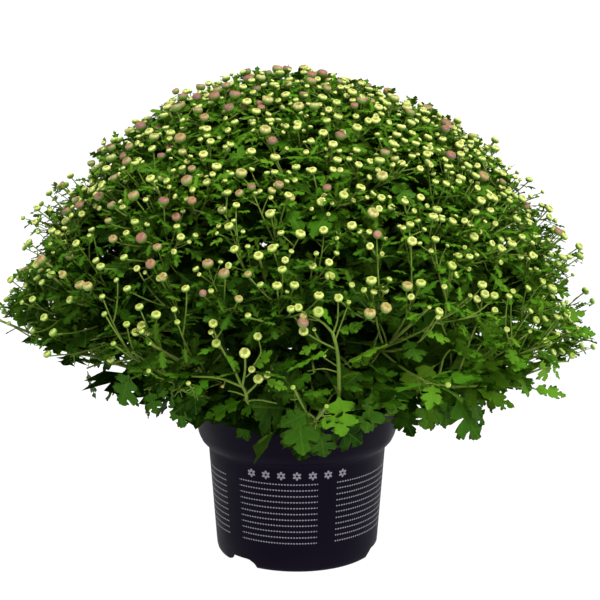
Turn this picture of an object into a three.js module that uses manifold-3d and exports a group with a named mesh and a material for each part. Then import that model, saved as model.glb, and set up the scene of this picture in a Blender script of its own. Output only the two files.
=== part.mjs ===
// A pot chrysanthemum in bud: a moulded nursery pot, its potting soil, one branching stem that
// stands in a hole in the soil, and leafy flower sprays that radiate from that stem into a dome.
// Millimetres, +Z up. The origin is the centre of the pot's foot, on the surface it stands on.
import * as THREE from "three";
import { mergeVertices } from "three/addons/utils/BufferGeometryUtils.js";
import Module from "manifold-3d";

const wasm = await Module();
wasm.setup();

const pot = {
  sides: 36,
  height: 143,
  wall: 1.8,
  rimRadius: 95,
  collarFoot: { radius: 89, z: 111 }, // where the collar ends and steps in to the body
  bodyTop: { radius: 80, z: 99 },
  bodyFoot: { radius: 73, z: 6 },
  footRadius: 69,
  floorZ: 9, // underside of the raised floor
  notches: { count: 3, width: 34, height: 8, firstAngle: -135 },
  drains: { count: 6, ringRadius: 42, radius: 5, sides: 8 },
};

const soil = { sides: 24, topZ: 121, mound: 4, gap: 0.9, rings: 3, clod: 1.1 };

const crown = {
  z: 128, // every branch points away from this height on the pot's axis
  stemRadius: 5.5,
  holeRadius: 6.2,
  depth: 22, // how far the stem reaches into the soil
  limbs: { count: 6, length: 38, rise: 40, radius: 4 },
  twigRadius: 1.7,
  joint: 0.3, // gap between a twig's end and the spray that it carries
};

const dome = { radius: 261, widestZ: 232, topZ: 438 };

const sprays = {
  count: 28,
  start: 72, // distance from the crown at which a spray begins
  lowestRise: 12.5, // degrees above the horizontal
  firstBearing: 112, // degrees, of the highest spray; the rest follow clockwise
  lowRise: 24, // sprays below this sag, and carry leaves that hang over the pot's rim
  jitter: 2.2, // degrees
  uneven: 10,
  stemRadius: 2.3,
  tipRadius: 1.6,
  margin: 0.5, // clear distance to the boundary between two sprays
};

// The packed foliage round a spray's stem, well inside the spray's room. Each ring has its place
// from the start of the foliage to its end, and its width as a share of the widest.
const core = {
  sides: 5,
  share: 0.4,
  uneven: 0.2,
  bare: 52, // the last stretch, where only stalks and leaves stand
  rings: [
    { place: 0, wide: 0.14 },
    { place: 0.3, wide: 0.6 },
    { place: 0.68, wide: 1 },
    { place: 1, wide: 0.7 },
  ],
};

// Leaves grow from the core's facets: which band of facets, and its lower or upper half.
const leaf = {
  sites: [[1, 1], [2, 0], [2, 1], [2, 1], [3, 0], [3, 0], [3, 1], [4, 0]],
  length: 51,
  width: 0.92,
  rib: 1.8,
  cup: 0.1,
  sunk: 2.6,
  clear: 3,
  sizes: [1, 0.87, 0.74, 0.6],
  pitches: [70, 62, 54, 46, 38, 30, 22],
  hangPitches: [112, 102, 92, 82, 72, 62, 52, 42],
};

const bud = {
  radius: 4.6,
  height: 6.6,
  stalkRadius: 0.8,
  stalks: 6,
};

const deg = Math.PI / 180;
const goldenAngle = 137.508;
const up = new THREE.Vector3(0, 0, 1);
const crownPoint = new THREE.Vector3(0, 0, crown.z);

const looks = {
  pot: { color: 0x241d2c, roughness: 0.42 },
  soil: { color: 0x2b1d14, roughness: 0.95 },
  stem: { color: 0x6f7a35, roughness: 0.7 },
  foliage: { color: 0x3c7324, roughness: 0.6 },
};

// A repeatable stream of numbers from 0 to 1.
function randomFrom(seed) {
  let state = seed >>> 0;
  return () => {
    state = (Math.imul(state, 1664525) + 1013904223) >>> 0;
    return state / 2 ** 32;
  };
}

function solidFrom(geometry) {
  const bare = geometry.index ? geometry.toNonIndexed() : geometry.clone();
  bare.deleteAttribute("normal");
  bare.deleteAttribute("uv");
  const merged = mergeVertices(bare, 1e-4);
  return new wasm.Manifold(
    new wasm.Mesh({
      numProp: 3,
      vertProperties: merged.attributes.position.array,
      triVerts: new Uint32Array(merged.index.array),
    }),
  );
}

function geometryOf(points, index) {
  const numbers = new Float32Array(points.flatMap((p) => [p.x, p.y, p.z]));
  return new THREE.BufferGeometry()
    .setAttribute("position", new THREE.BufferAttribute(numbers, 3))
    .setIndex(index);
}

function geometryFrom(solid) {
  const { vertProperties, triVerts, numProp, numVert } = solid.getMesh();
  const points = Array.from(
    { length: numVert },
    (_, i) => new THREE.Vector3(...vertProperties.subarray(i * numProp, i * numProp + 3)),
  );
  return geometryOf(points, Array.from(triVerts));
}

const joined = (solids) => solids.reduce((all, one) => all.add(one));

// Two directions square to an axis and to each other, in right-handed order with it.
function basisOf(axis, reference = up) {
  const u = reference.clone().addScaledVector(axis, -reference.dot(axis));
  if (u.length() < 1e-3) u.set(1, 0, 0).addScaledVector(axis, -axis.x);
  u.normalize();
  return [u, axis.clone().cross(u)];
}

// A ring of points round an axis, counter-clockwise along it.
function ringAt(centre, axis, radius, sides, turn = 0) {
  const [u, v] = basisOf(axis, Math.abs(axis.z) > 0.9 ? new THREE.Vector3(1, 0, 0) : up);
  return Array.from({ length: sides }, (_, i) => {
    const angle = turn + (i / sides) * 2 * Math.PI;
    return centre
      .clone()
      .addScaledVector(u, radius * Math.cos(angle))
      .addScaledVector(v, radius * Math.sin(angle));
  });
}

// The closed skin through rings of equal count, with flat ends.
function loft(rings) {
  const n = rings[0].length;
  const index = [];
  for (let r = 0; r + 1 < rings.length; r++)
    for (let i = 0; i < n; i++) {
      const a = r * n + i;
      const b = r * n + ((i + 1) % n);
      index.push(a, b, b + n, a, b + n, a + n);
    }
  const last = (rings.length - 1) * n;
  for (let i = 1; i + 1 < n; i++) index.push(0, i + 1, i, last, last + i, last + i + 1);
  return solidFrom(geometryOf(rings.flat(), index));
}

// A tapered stem through a few points. Every ring is square to the stem's overall direction.
function stemAlong(points, radii, sides) {
  const axis = points.at(-1).clone().sub(points[0]).normalize();
  return loft(points.map((p, i) => ringAt(p, axis, radii[i], sides)));
}

// ---- the pot

function potProfile() {
  const { wall, rimRadius, height, collarFoot, bodyTop, bodyFoot, footRadius, floorZ } = pot;
  const outside = [
    [0, floorZ],
    [footRadius - 2 * wall, floorZ],
    [footRadius - 2 * wall, 0],
    [footRadius, 0],
    [footRadius + 2.6, 1.8],
    [bodyFoot.radius, bodyFoot.z],
    [bodyTop.radius, bodyTop.z],
    [bodyTop.radius + 5.5, bodyTop.z + 5],
    [collarFoot.radius, collarFoot.z],
    [rimRadius, height],
  ];
  const inside = [
    [rimRadius - wall, height],
    [collarFoot.radius - wall, collarFoot.z + 1],
    [bodyTop.radius - wall, bodyTop.z + 2],
    [bodyFoot.radius - wall, floorZ + wall],
    [0, floorZ + wall],
  ];
  return [...outside, ...inside].map(([r, z]) => new THREE.Vector2(r, z));
}

function potGeometry() {
  const shell = new THREE.LatheGeometry(potProfile(), pot.sides).rotateX(Math.PI / 2);
  let body = solidFrom(shell);
  const { count, width, height, firstAngle } = pot.notches;
  const arch = new THREE.Shape(
    [
      [-width / 2, -1],
      [-width / 2 + 3, height * 0.6],
      [-width / 2 + 8, height],
      [width / 2 - 8, height],
      [width / 2 - 3, height * 0.6],
      [width / 2, -1],
    ].map(([x, y]) => new THREE.Vector2(x, y)),
  );
  for (let i = 0; i < count; i++) {
    const cut = new THREE.ExtrudeGeometry(arch, { depth: 30, bevelEnabled: false })
      .rotateX(Math.PI / 2)
      .translate(0, -50, 0)
      .rotateZ((firstAngle + 90 + (i * 360) / count) * deg);
    body = body.subtract(solidFrom(cut));
  }
  const { ringRadius, radius, sides } = pot.drains;
  for (let i = 0; i <= pot.drains.count; i++) {
    const angle = (i * 2 * Math.PI) / pot.drains.count;
    const out = i === pot.drains.count ? 0 : ringRadius;
    const hole = new THREE.CylinderGeometry(radius, radius, 12, sides)
      .rotateX(Math.PI / 2)
      .translate(out * Math.cos(angle), out * Math.sin(angle), pot.floorZ);
    body = body.subtract(solidFrom(hole));
  }
  return geometryFrom(body);
}

// ---- the soil

function soilGeometry() {
  const floor = pot.floorZ + pot.wall + soil.gap;
  const inset = pot.wall + soil.gap;
  const sideSlope = (pot.bodyTop.radius - pot.bodyFoot.radius) / (pot.bodyTop.z - pot.bodyFoot.z);
  const bodyRadius = (z) => pot.bodyFoot.radius - inset + sideSlope * (z - pot.bodyFoot.z - 4);
  const edge = pot.collarFoot.radius - inset;
  const profile = [
    [0, floor],
    [bodyRadius(floor), floor],
    [bodyRadius(pot.bodyTop.z + 2), pot.bodyTop.z + 2.6],
    [edge - 1, pot.collarFoot.z + 2],
    [edge, soil.topZ],
  ];
  for (let i = 1; i < soil.rings; i++)
    profile.push([edge * (1 - i / soil.rings), soil.topZ + soil.mound * (i / soil.rings)]);
  profile.push([0, soil.topZ + soil.mound]);
  const lathe = new THREE.LatheGeometry(
    profile.map(([r, z]) => new THREE.Vector2(r, z)),
    soil.sides,
  ).rotateX(Math.PI / 2);
  const position = lathe.getAttribute("position");
  for (let i = 0; i < position.count; i++) {
    const [x, y, z] = [position.getX(i), position.getY(i), position.getZ(i)];
    if (z < soil.topZ + 0.1) continue;
    const clod = Math.sin(x * 0.31 + 1.3) * Math.cos(y * 0.27) + Math.sin((x - y) * 0.19);
    position.setZ(i, z + soil.clod * clod);
  }
  const hole = new THREE.CylinderGeometry(
    crown.holeRadius,
    crown.holeRadius,
    60,
    12,
  )
    .rotateX(Math.PI / 2)
    .translate(0, 0, crown.z - crown.depth - crown.joint + 30);
  return geometryFrom(solidFrom(lathe).subtract(solidFrom(hole)));
}

// ---- the dome that the sprays fill

// Radius of the dome at a height, with the lower side drawn in to the pot's rim.
function domeRadiusAt(z) {
  const { radius, widestZ, topZ } = dome;
  if (z >= widestZ) {
    const share = Math.min(1, (z - widestZ) / (topZ - widestZ));
    return radius * (1 - share ** 1.8) ** 0.625;
  }
  const share = Math.min(1, (widestZ - z) / (widestZ - pot.height));
  return radius * (1 - 0.48 * share ** 4);
}

// Distance from the crown to the dome's surface along a direction.
function domeReach(direction) {
  const flat = Math.hypot(direction.x, direction.y);
  let near = 0;
  let far = 400;
  for (let i = 0; i < 30; i++) {
    const middle = (near + far) / 2;
    const z = crown.z + middle * direction.z;
    if (z < dome.topZ && middle * flat < domeRadiusAt(z)) near = middle;
    else far = middle;
  }
  const around = Math.atan2(direction.y, direction.x);
  return near + flat * (4 * Math.sin(4 * around + 0.6) + 3 * Math.sin(6 * around + 2.1));
}

// A direction from its rise above the horizontal and its bearing, in degrees.
function directionAt(rise, bearing) {
  const flat = Math.cos(rise * deg);
  return new THREE.Vector3(
    flat * Math.cos(bearing * deg),
    flat * Math.sin(bearing * deg),
    Math.sin(rise * deg),
  );
}

function sprayDirection(i) {
  const random = randomFrom(31 + 17 * i);
  const { count, lowestRise, firstBearing, jitter } = sprays;
  const sine = 1 - ((i + 0.5) / count) * (1 - Math.sin(lowestRise * deg));
  const rise = Math.asin(sine) / deg + 2 * jitter * (random() - 0.5) * Math.min(1, i);
  return directionAt(rise, firstBearing - i * goldenAngle + 2 * jitter * (random() - 0.5));
}

// Half the angle of the cone that one spray fills.
const sprayAngle = Math.acos(1 - (1 - Math.sin(sprays.lowestRise * deg)) / sprays.count);

const directions = Array.from({ length: sprays.count }, (_, i) => sprayDirection(i));

// The room of one spray is the cone of all directions nearest to its own.
function roomOf(i) {
  const walls = directions
    .filter((_, j) => j !== i && directions[i].angleTo(directions[j]) < 60 * deg)
    .map((other) => directions[i].clone().sub(other).normalize());
  return (point, margin = sprays.margin) => {
    const from = point.clone().sub(crownPoint);
    if (walls.some((wall) => from.dot(wall) < margin)) return false;
    const past = Math.hypot(point.x, point.y) - pot.rimRadius - 8;
    return point.z > pot.height + 3 - Math.max(0, past);
  };
}

// Draws a point towards the spray's own axis until it has the margin.
function drawnIn(point, axis, inRoom, margin) {
  const from = point.clone().sub(crownPoint);
  const centre = axis.clone().multiplyScalar(from.dot(axis));
  for (let share = 1; share > 0.05; share -= 0.05) {
    const tried = centre.clone().lerp(from, share).add(crownPoint);
    if (inRoom(tried, margin)) return tried;
  }
  return centre.add(crownPoint);
}

// ---- the branching stem

function branchGeometry() {
  const { limbs, twigRadius, joint, depth, stemRadius } = crown;
  const foot = new THREE.Vector3(0, 0, crown.z - depth);
  const aims = [up.clone()];
  for (let i = 0; i < limbs.count; i++)
    aims.push(directionAt(limbs.rise, ((i + 0.35) * 360) / limbs.count));
  const tips = aims.map((aim) => crownPoint.clone().addScaledVector(aim, limbs.length));
  const parts = [stemAlong([foot, tips[0]], [stemRadius, limbs.radius * 0.7], 6)];
  for (const tip of tips.slice(1))
    parts.push(stemAlong([crownPoint, tip], [limbs.radius, limbs.radius * 0.7], 4));
  const used = aims.map(() => 0);
  for (const direction of directions) {
    const closeness = aims.map((aim) => aim.dot(direction));
    const k = closeness.indexOf(Math.max(...closeness));
    const root = crownPoint.clone().lerp(tips[k], 0.93 - 0.1 * used[k]);
    used[k] += 1;
    const end = crownPoint.clone().addScaledVector(direction, sprays.start - joint);
    parts.push(loft([ringAt(root, direction, twigRadius, 3), ringAt(end, direction, twigRadius, 3)]));
  }
  return geometryFrom(joined(parts));
}

// ---- leaves

// Half of the lobed outline, from base to tip: along, across, and the rib point each edge meets.
const leafEdge = [
  [0, 0.02, 0],
  [0.36, 0.4, 1],
  [0.5, 0.15, 2],
  [0.74, 0.43, 2],
  [1, 0, 2],
];
const leafRibs = [0, 0.26, 0.66];

// A leaf's corner points: a blade that is thickest along its rib and curves down to its tip.
function leafPoints({ root, along, normal, length, width, droop, cup }) {
  const across = normal.clone().cross(along);
  const at = (x, y, lift = 0) =>
    root
      .clone()
      .addScaledVector(along, length * x)
      .addScaledVector(across, width * y)
      .addScaledVector(normal, lift - length * droop * x * x - width * cup * Math.abs(y));
  const rows = leafEdge.slice(0, -1);
  return {
    outline: [
      ...rows.map(([x, y]) => at(x, y)),
      at(1, 0),
      ...rows.map(([x, y]) => at(x, -y)).reverse(),
    ],
    top: leafRibs.slice(1).map((x) => at(x, 0, leaf.rib * 0.4)),
    bottom: leafRibs.map((x) => at(x, 0, -leaf.rib * 0.6)),
  };
}

// The blade's two faces are alike, but for the keel that runs on down to the stalk's end below.
function leafSolid(place) {
  const { outline, top, bottom } = leafPoints(place);
  const n = outline.length;
  const keel = n + top.length;
  const ribs = outline.map((_, i) => leafEdge[Math.min(i, n - 1 - i)][2]);
  const above = (rib) => n + Math.max(rib, 1) - 1;
  const index = [n - 1, 0, keel, n - 1, above(1), 0];
  for (let i = 0; i + 1 < n; i++) {
    const [here, next] = [ribs[i], ribs[i + 1]];
    index.push(i, above(here), i + 1, i, i + 1, keel + here);
    if (here === next) continue;
    index.push(i + 1, keel + next, keel + here);
    if (above(here) !== above(next)) index.push(i + 1, above(here), above(next));
  }
  return solidFrom(geometryOf([...outline, ...top, ...bottom], index));
}

// The room that a leaf fills, as small balls from its first lobe outwards.
function leafBalls(place) {
  const { outline, top } = leafPoints(place);
  const n = outline.length;
  return outline.slice(1, -1).flatMap((p, i) => {
    const rib = leafEdge[Math.min(i + 1, n - 2 - i)][2];
    return [[p, leaf.clear], [p.clone().lerp(top[rib - 1], 0.5), leaf.clear]];
  });
}

// The room that a straight stem fills, without its first few millimetres.
function stemBalls(from, to, radius, bare) {
  const long = from.distanceTo(to);
  const balls = [];
  for (let d = bare; d < long; d += 4) balls.push([from.clone().lerp(to, d / long), radius]);
  return balls;
}

const clearOf = (balls, taken) =>
  balls.every(([p, r]) => taken.every(([q, s]) => p.distanceToSquared(q) > (r + s) ** 2));

// ---- one spray

// Where everything on a spray grows. The flowers come first and the leaves fit in among them.
function growSpray(i) {
  const random = randomFrom(977 + 101 * i);
  const axis = directions[i];
  const inRoom = roomOf(i);
  const reach = domeReach(axis) + sprays.uneven * (random() - 0.5);
  const low = Math.asin(axis.z) / deg < sprays.lowRise;
  const firstTurn = low ? Math.PI * (1 - 1 / core.sides) : random() * 2 * Math.PI;
  const [over, side] = basisOf(axis);
  const spreadAt = (turn) =>
    over.clone().multiplyScalar(Math.cos(turn)).addScaledVector(side, Math.sin(turn));
  const leaning = (spread, angle) =>
    axis.clone().multiplyScalar(Math.cos(angle * deg)).addScaledVector(spread, Math.sin(angle * deg));
  const beside = (distance, spread = axis, out = 0) =>
    crownPoint.clone().addScaledVector(axis, distance).addScaledVector(spread, out);

  const widest = reach * Math.tan(sprayAngle) * core.share;
  const round = (distance, radius, uneven = 0) =>
    Array.from({ length: core.sides }, (_, k) => {
      const spread = spreadAt(firstTurn + (k * 2 * Math.PI) / core.sides);
      return beside(distance, spread, radius * (1 + uneven * (2 * random() - 1)));
    });
  const mainRings = [
    round(sprays.start, sprays.stemRadius),
    ...core.rings.map(({ place, wide }) =>
      round(
        THREE.MathUtils.lerp(sprays.start + 8, reach - core.bare - 6, place),
        widest * wide,
        core.uneven,
      ).map((p) => drawnIn(p, axis, inRoom, 2)),
    ),
    round(reach - core.bare + 6, sprays.tipRadius),
    round(reach - bud.height, bud.stalkRadius),
    round(reach - bud.height * 0.7, bud.radius),
    round(reach, bud.radius * 0.8),
  ];

  const taken = [...stemBalls(beside(reach - core.bare), beside(reach - 8), 1, 0)];
  taken.push([beside(reach - bud.height / 2), bud.radius + 1]);
  const buds = [];
  for (let k = 0; k < bud.stalks; k++) {
    const share = k / (bud.stalks - 1);
    const turn = firstTurn + k * goldenAngle * deg;
    const spread = spreadAt(turn);
    const out = THREE.MathUtils.lerp(12, 0.86 * reach * Math.tan(sprayAngle), share);
    const way = leaning(spread, Math.atan2(out * (0.9 + 0.2 * random()), reach) / deg);
    const goal = crownPoint.clone().addScaledVector(way, domeReach(way) - 8 * random());
    const size = 0.82 + 0.3 * random();
    const root = beside(reach - core.bare - 12, spread, Math.min(out * 0.3, widest * 0.4));
    const end = drawnIn(goal, axis, inRoom, bud.radius * size + 1);
    const grow = end.clone().sub(root).normalize();
    const foot = end.clone().addScaledVector(grow, -bud.height * size);
    const head = foot.clone().lerp(end, 0.5);
    const under = low && Math.cos(turn) < -0.1; // a low spray has only leaves on its underside
    if (under || !clearOf([[head, bud.radius * size]], taken)) continue;
    taken.push([head, bud.radius * size + 1], ...stemBalls(root, foot, 1, 10));
    buds.push({ root, foot, way: grow, size });
  }

  // A leaf is turned, raised towards the stem and made smaller until it is clear of the rest.
  const fittedLeaf = (foot, long, droop) => {
    const from = foot.clone().sub(beside(axis.dot(foot.clone().sub(crownPoint))));
    const bearing = Math.atan2(from.dot(side), from.dot(over));
    const pitches = low && Math.cos(bearing) < -0.2 ? leaf.hangPitches : leaf.pitches;
    for (const size of leaf.sizes)
      for (const aside of [0, 0.35, -0.35, 0.7, -0.7])
        for (const pitch of pitches) {
          const spread = spreadAt(bearing + aside);
          const along = leaning(spread, pitch);
          const place = {
            root: foot.clone().addScaledVector(along, -leaf.sunk),
            along,
            normal: leaning(spread, pitch - 90),
            length: long * size,
            width: long * size * leaf.width,
            droop,
            cup: leaf.cup,
          };
          const { outline, top, bottom } = leafPoints(place);
          const corners = [...outline.slice(1, -1), ...top, ...bottom.slice(1)];
          if (!corners.every((p) => inRoom(p, sprays.margin))) continue;
          if (clearOf(leafBalls(place), taken)) return place;
        }
    return null;
  };
  const leaves = [];
  for (const [k, [band, upper]] of leaf.sites.entries()) {
    const [here, next] = [(2 * k) % core.sides, (2 * k + 1) % core.sides];
    const [below, above] = [mainRings[band], mainRings[band + 1]];
    const facet = [below[here], above[next], upper ? above[here] : below[next]];
    const weight = [0.25 + 0.15 * random(), 0.25 + 0.15 * random()];
    const foot = facet[0].clone().multiplyScalar(weight[0]);
    foot.addScaledVector(facet[1], weight[1]);
    foot.addScaledVector(facet[2], 1 - weight[0] - weight[1]);
    const share = k / (leaf.sites.length - 1);
    const long = leaf.length * (1.08 - 0.42 * share) * (0.92 + 0.16 * random());
    const place = fittedLeaf(foot, long, 0.1 + 0.14 * random());
    if (!place) continue;
    taken.push(...leafBalls(place));
    leaves.push(place);
  }
  return { mainRings, buds, leaves };
}

// A bud on its stalk: its foot, its widest and its flat top, which turns half a side.
function budSolid({ root, foot, way, size }) {
  const at = (share) => foot.clone().addScaledVector(way, bud.height * size * share);
  return loft([
    ringAt(root, way, bud.stalkRadius, 3),
    ringAt(foot, way, bud.stalkRadius, 3),
    ringAt(at(0.3), way, bud.radius * size, 3),
    ringAt(at(1), way, bud.radius * size * 0.8, 3, Math.PI / 3),
  ]);
}

function sprayGeometry(i) {
  const grown = growSpray(i);
  return geometryFrom(
    joined([loft(grown.mainRings), ...grown.buds.map(budSolid), ...grown.leaves.map(leafSolid)]),
  );
}

// ---- the whole plant

const plant = new THREE.Group();

function addPart(name, geometry, look) {
  const mesh = new THREE.Mesh(geometry, new THREE.MeshStandardMaterial(look));
  mesh.name = name;
  plant.add(mesh);
}

addPart("pot", potGeometry(), looks.pot);
addPart("soil", soilGeometry(), looks.soil);
addPart("branching_stem", branchGeometry(), looks.stem);
for (let i = 0; i < sprays.count; i++)
  addPart(`spray_${String(i + 1).padStart(2, "0")}`, sprayGeometry(i), looks.foliage);

export default plant;
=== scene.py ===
import math
import bpy
import numpy as np
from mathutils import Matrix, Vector
from mathutils.geometry import delaunay_2d_cdt


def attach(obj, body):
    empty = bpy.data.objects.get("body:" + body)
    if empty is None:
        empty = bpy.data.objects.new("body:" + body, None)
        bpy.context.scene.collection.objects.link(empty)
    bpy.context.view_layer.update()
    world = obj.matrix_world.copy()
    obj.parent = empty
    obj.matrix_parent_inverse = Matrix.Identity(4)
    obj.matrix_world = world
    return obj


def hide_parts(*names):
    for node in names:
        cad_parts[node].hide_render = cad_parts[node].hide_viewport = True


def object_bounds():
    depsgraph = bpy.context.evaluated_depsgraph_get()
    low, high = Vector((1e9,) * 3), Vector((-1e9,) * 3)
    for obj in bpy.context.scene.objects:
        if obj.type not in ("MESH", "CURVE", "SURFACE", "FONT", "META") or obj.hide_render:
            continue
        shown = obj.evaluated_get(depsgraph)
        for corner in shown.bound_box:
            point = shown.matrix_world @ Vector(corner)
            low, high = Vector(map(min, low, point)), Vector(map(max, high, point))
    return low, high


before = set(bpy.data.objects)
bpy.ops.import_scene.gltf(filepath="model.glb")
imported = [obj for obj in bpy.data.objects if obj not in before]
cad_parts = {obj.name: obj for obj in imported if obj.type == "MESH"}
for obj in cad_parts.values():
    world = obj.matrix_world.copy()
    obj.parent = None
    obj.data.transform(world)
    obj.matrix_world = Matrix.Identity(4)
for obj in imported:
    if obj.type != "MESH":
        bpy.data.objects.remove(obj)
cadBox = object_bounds()
scene = bpy.context.scene
up = np.array([0.0, 0.0, 1.0])
golden = math.radians(137.508)
mm = 0.001


def put(name, data):
    made = bpy.data.objects.new(name, data)
    scene.collection.objects.link(made)
    return made


def putMesh(name, points, faces):
    mesh = bpy.data.meshes.new(name)
    mesh.from_pydata(points, [], faces)
    return put(name, mesh)


def ringFaces(rings, columns):  # the faces that join rings of points, each ring to the one before it
    faces = []
    for k in range(rings - 1):
        for i in range(columns):
            j = (i + 1) % columns
            faces.append((k * columns + i, k * columns + j, (k + 1) * columns + j, (k + 1) * columns + i))
    return faces


def capFaces(first, columns, top):  # the fan from a ring, whose points begin at first, to one point
    return [[first + i, first + (i + 1) % columns, top] for i in range(columns)]


# camera, floor and studio light

shot = {"place": (0, -1.540, 0.560), "down": 12.1, "lens": 106.08, "shiftX": 0.005}


def placeCamera():
    data = bpy.data.cameras.new("camera")
    data.lens = shot["lens"]
    data.sensor_width = 36
    data.shift_x = shot["shiftX"]
    camera = put("camera", data)
    camera.location = shot["place"]
    camera.rotation_euler = (math.radians(90 - shot["down"]), 0, 0)
    scene.camera = camera


placeCamera()

studio = {
    "sky": 0.42,
    # the paper's far edge rises all round: distance, height
    "sweep": [(30, 0), (32, 0.4), (33.5, 1.6), (34, 3.5), (34, 8)],
    "columns": 48,
    "lamps": [  # name, where it shines from, strength, softness in degrees
        ("keyLight", (0.34, -0.46, 1.0), 3.4, 22),
        ("fillLight", (0.60, -1.0, 0.28), 1.3, 50),
    ],
}


# One value, colour or vector in a material. Sums on values add Math nodes.
class Wire:
    def __init__(self, finish, socket):
        self.finish = finish
        self.socket = socket

    def math(self, operation, *values):
        return self.finish.node("ShaderNodeMath", {"operation": operation}, dict(enumerate(values)))

    def __add__(self, other):
        return self.math("ADD", self, other)

    def __radd__(self, other):
        return self.math("ADD", other, self)

    def __sub__(self, other):
        return self.math("SUBTRACT", self, other)

    def __rsub__(self, other):
        return self.math("SUBTRACT", other, self)

    def __mul__(self, other):
        return self.math("MULTIPLY", self, other)

    def __rmul__(self, other):
        return self.math("MULTIPLY", other, self)

    def __pow__(self, other):
        return self.math("POWER", self, other)

    def __abs__(self):
        return self.math("ABSOLUTE", self)

    def between(self, low, high):  # eased from 0 at low to 1 at high
        settings = {"interpolation_type": "SMOOTHSTEP"}
        inputs = {"Value": self, "From Min": low, "From Max": high}
        return self.finish.node("ShaderNodeMapRange", settings, inputs)

    def zigzag(self, scale):  # 0 at even multiples of scale, scale at odd ones
        return self.math("PINGPONG", self, scale)


# A material, whose nodes all come from node().
class Finish:
    def __init__(self, name):
        self.material = bpy.data.materials.new(name)
        self.material.use_nodes = True
        self.tree = self.material.node_tree
        self.surface = self.tree.nodes["Principled BSDF"]

    def node(self, kind, settings=None, inputs=None, output=0):
        made = self.tree.nodes.new(kind)
        for name, value in (settings or {}).items():
            setattr(made, name, value)
        for name, value in (inputs or {}).items():
            self.join(value, made.inputs[name])
        return Wire(self, made.outputs[output])

    def join(self, value, socket):
        if isinstance(value, Wire):
            self.tree.links.new(value.socket, socket)
        elif isinstance(value, tuple) and len(value) == 3 and socket.type == "RGBA":
            socket.default_value = (*value, 1)
        else:
            socket.default_value = value

    def blend(self, share, first, second):
        return self.node("ShaderNodeMix", {"data_type": "RGBA"}, {0: share, 6: first, 7: second}, 2)

    def parts(self, vector):
        split = self.node("ShaderNodeSeparateXYZ", inputs={0: vector})
        return [Wire(self, output) for output in split.socket.node.outputs]

    def note(self, name):  # the three numbers that a mesh keeps at each point
        return self.parts(self.node("ShaderNodeAttribute", {"attribute_name": name}, output="Vector"))

    def place(self):
        return self.node("ShaderNodeTexCoord", output="Object")

    def noise(self, vector, scale, detail=2.0, roughness=0.5):
        inputs = {"Vector": vector, "Scale": scale, "Detail": detail, "Roughness": roughness}
        return self.node("ShaderNodeTexNoise", inputs=inputs)

    def bump(self, height, strength, distance):
        inputs = {"Height": height, "Strength": strength, "Distance": distance}
        return self.node("ShaderNodeBump", inputs=inputs)

    def finish(self, **inputs):  # sockets of the surface, by name
        for name, value in inputs.items():
            self.join(value, self.surface.inputs[name.replace("_", " ")])
        return self.material


def floorMaterial():
    paper = Finish("studioFloor")
    grain = paper.noise(paper.place(), 3.0)
    return paper.finish(Base_Color=(0.08, 0.08, 0.08), Roughness=0.85 + grain * 0.1, Emission_Color=(1.0, 1.0, 1.0),
                        Emission_Strength=1.0)


def buildStudio():
    world = bpy.data.worlds.new("studio")
    world.use_nodes = True
    world.node_tree.nodes["Background"].inputs["Color"].default_value = (1, 1, 1, 1)
    world.node_tree.nodes["Background"].inputs["Strength"].default_value = studio["sky"]
    scene.world = world
    scene.view_settings.view_transform = "Standard"
    columns, sweep = studio["columns"], studio["sweep"]
    points = []
    for out, height in sweep:
        for k in range(columns):
            angle = k * 2 * math.pi / columns
            points.append((out * math.cos(angle), out * math.sin(angle), height))
    floor = putMesh("floor", points, [list(range(columns))] + ringFaces(len(sweep), columns))
    floor.data.materials.append(floorMaterial())
    for name, place, strength, softness in studio["lamps"]:
        lamp = bpy.data.lights.new(name, "SUN")
        lamp.energy = strength
        lamp.angle = math.radians(softness)
        put(name, lamp).rotation_euler = (-Vector(place)).to_track_quat("-Z", "Y").to_euler()


buildStudio()
print("studio ready")


# Points, faces and per-point notes of one piece, gathered from many small forms. Millimetres.
class Heap:
    def __init__(self):
        self.points, self.faces, self.spots, self.tones = [], [], [], []
        self.count = 0

    def add(self, points, faces, spots, tone):
        self.points.append(points)
        self.faces += (np.asarray(faces) + self.count).tolist()
        self.spots.append(spots)
        self.tones.append(np.broadcast_to(np.asarray(tone, float), (len(points), 3)))
        self.count += len(points)

    def triangles(self):
        return sum(len(face) - 2 for face in self.faces)


def makePiece(name, heap, material, slot, *nodes):
    piece = putMesh(name, (np.concatenate(heap.points) * mm).tolist(), heap.faces)
    for label, rows in (("spot", heap.spots), ("tone", heap.tones)):
        kept = piece.data.attributes.new(label, "FLOAT_VECTOR", "POINT")
        kept.data.foreach_set("vector", np.concatenate(rows).astype(np.float32).ravel())
    piece.data.shade_smooth()
    piece.data.materials.append(material)
    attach(piece, "root")
    if nodes:
        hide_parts(*nodes)


# The solid model's own stream of random numbers from 0 to 1, so that its sprays come out the same here.
def randomFrom(seed):
    state = seed & 0xFFFFFFFF

    def draw():
        nonlocal state
        state = (state * 1664525 + 1013904223) & 0xFFFFFFFF
        return state / 2**32

    return draw


def unit(vector):
    return vector / np.linalg.norm(vector)


def directionAt(rise, bearing):
    rise, bearing = math.radians(rise), math.radians(bearing)
    return np.array([math.cos(rise) * math.cos(bearing), math.cos(rise) * math.sin(bearing), math.sin(rise)])


def riseOf(steepness):  # in degrees, from the upward share of a direction
    return math.degrees(math.asin(steepness))


def basisOf(axis):  # two directions square to axis, the first as steep as can be
    over = up - axis * axis[2]
    if np.linalg.norm(over) < 1e-3:
        over = np.array([1.0, 0, 0]) - axis * axis[0]
    over = unit(over)
    return over, np.cross(axis, over)


def aroundAxis(axis, turn):  # the direction square to axis that is turned on from the steepest
    over, side = basisOf(axis)
    return over * math.cos(turn) + side * math.sin(turn)


def sideways(way, draw):  # a random direction square to way
    return aroundAxis(way, draw.uniform(0, 2 * math.pi))


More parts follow.
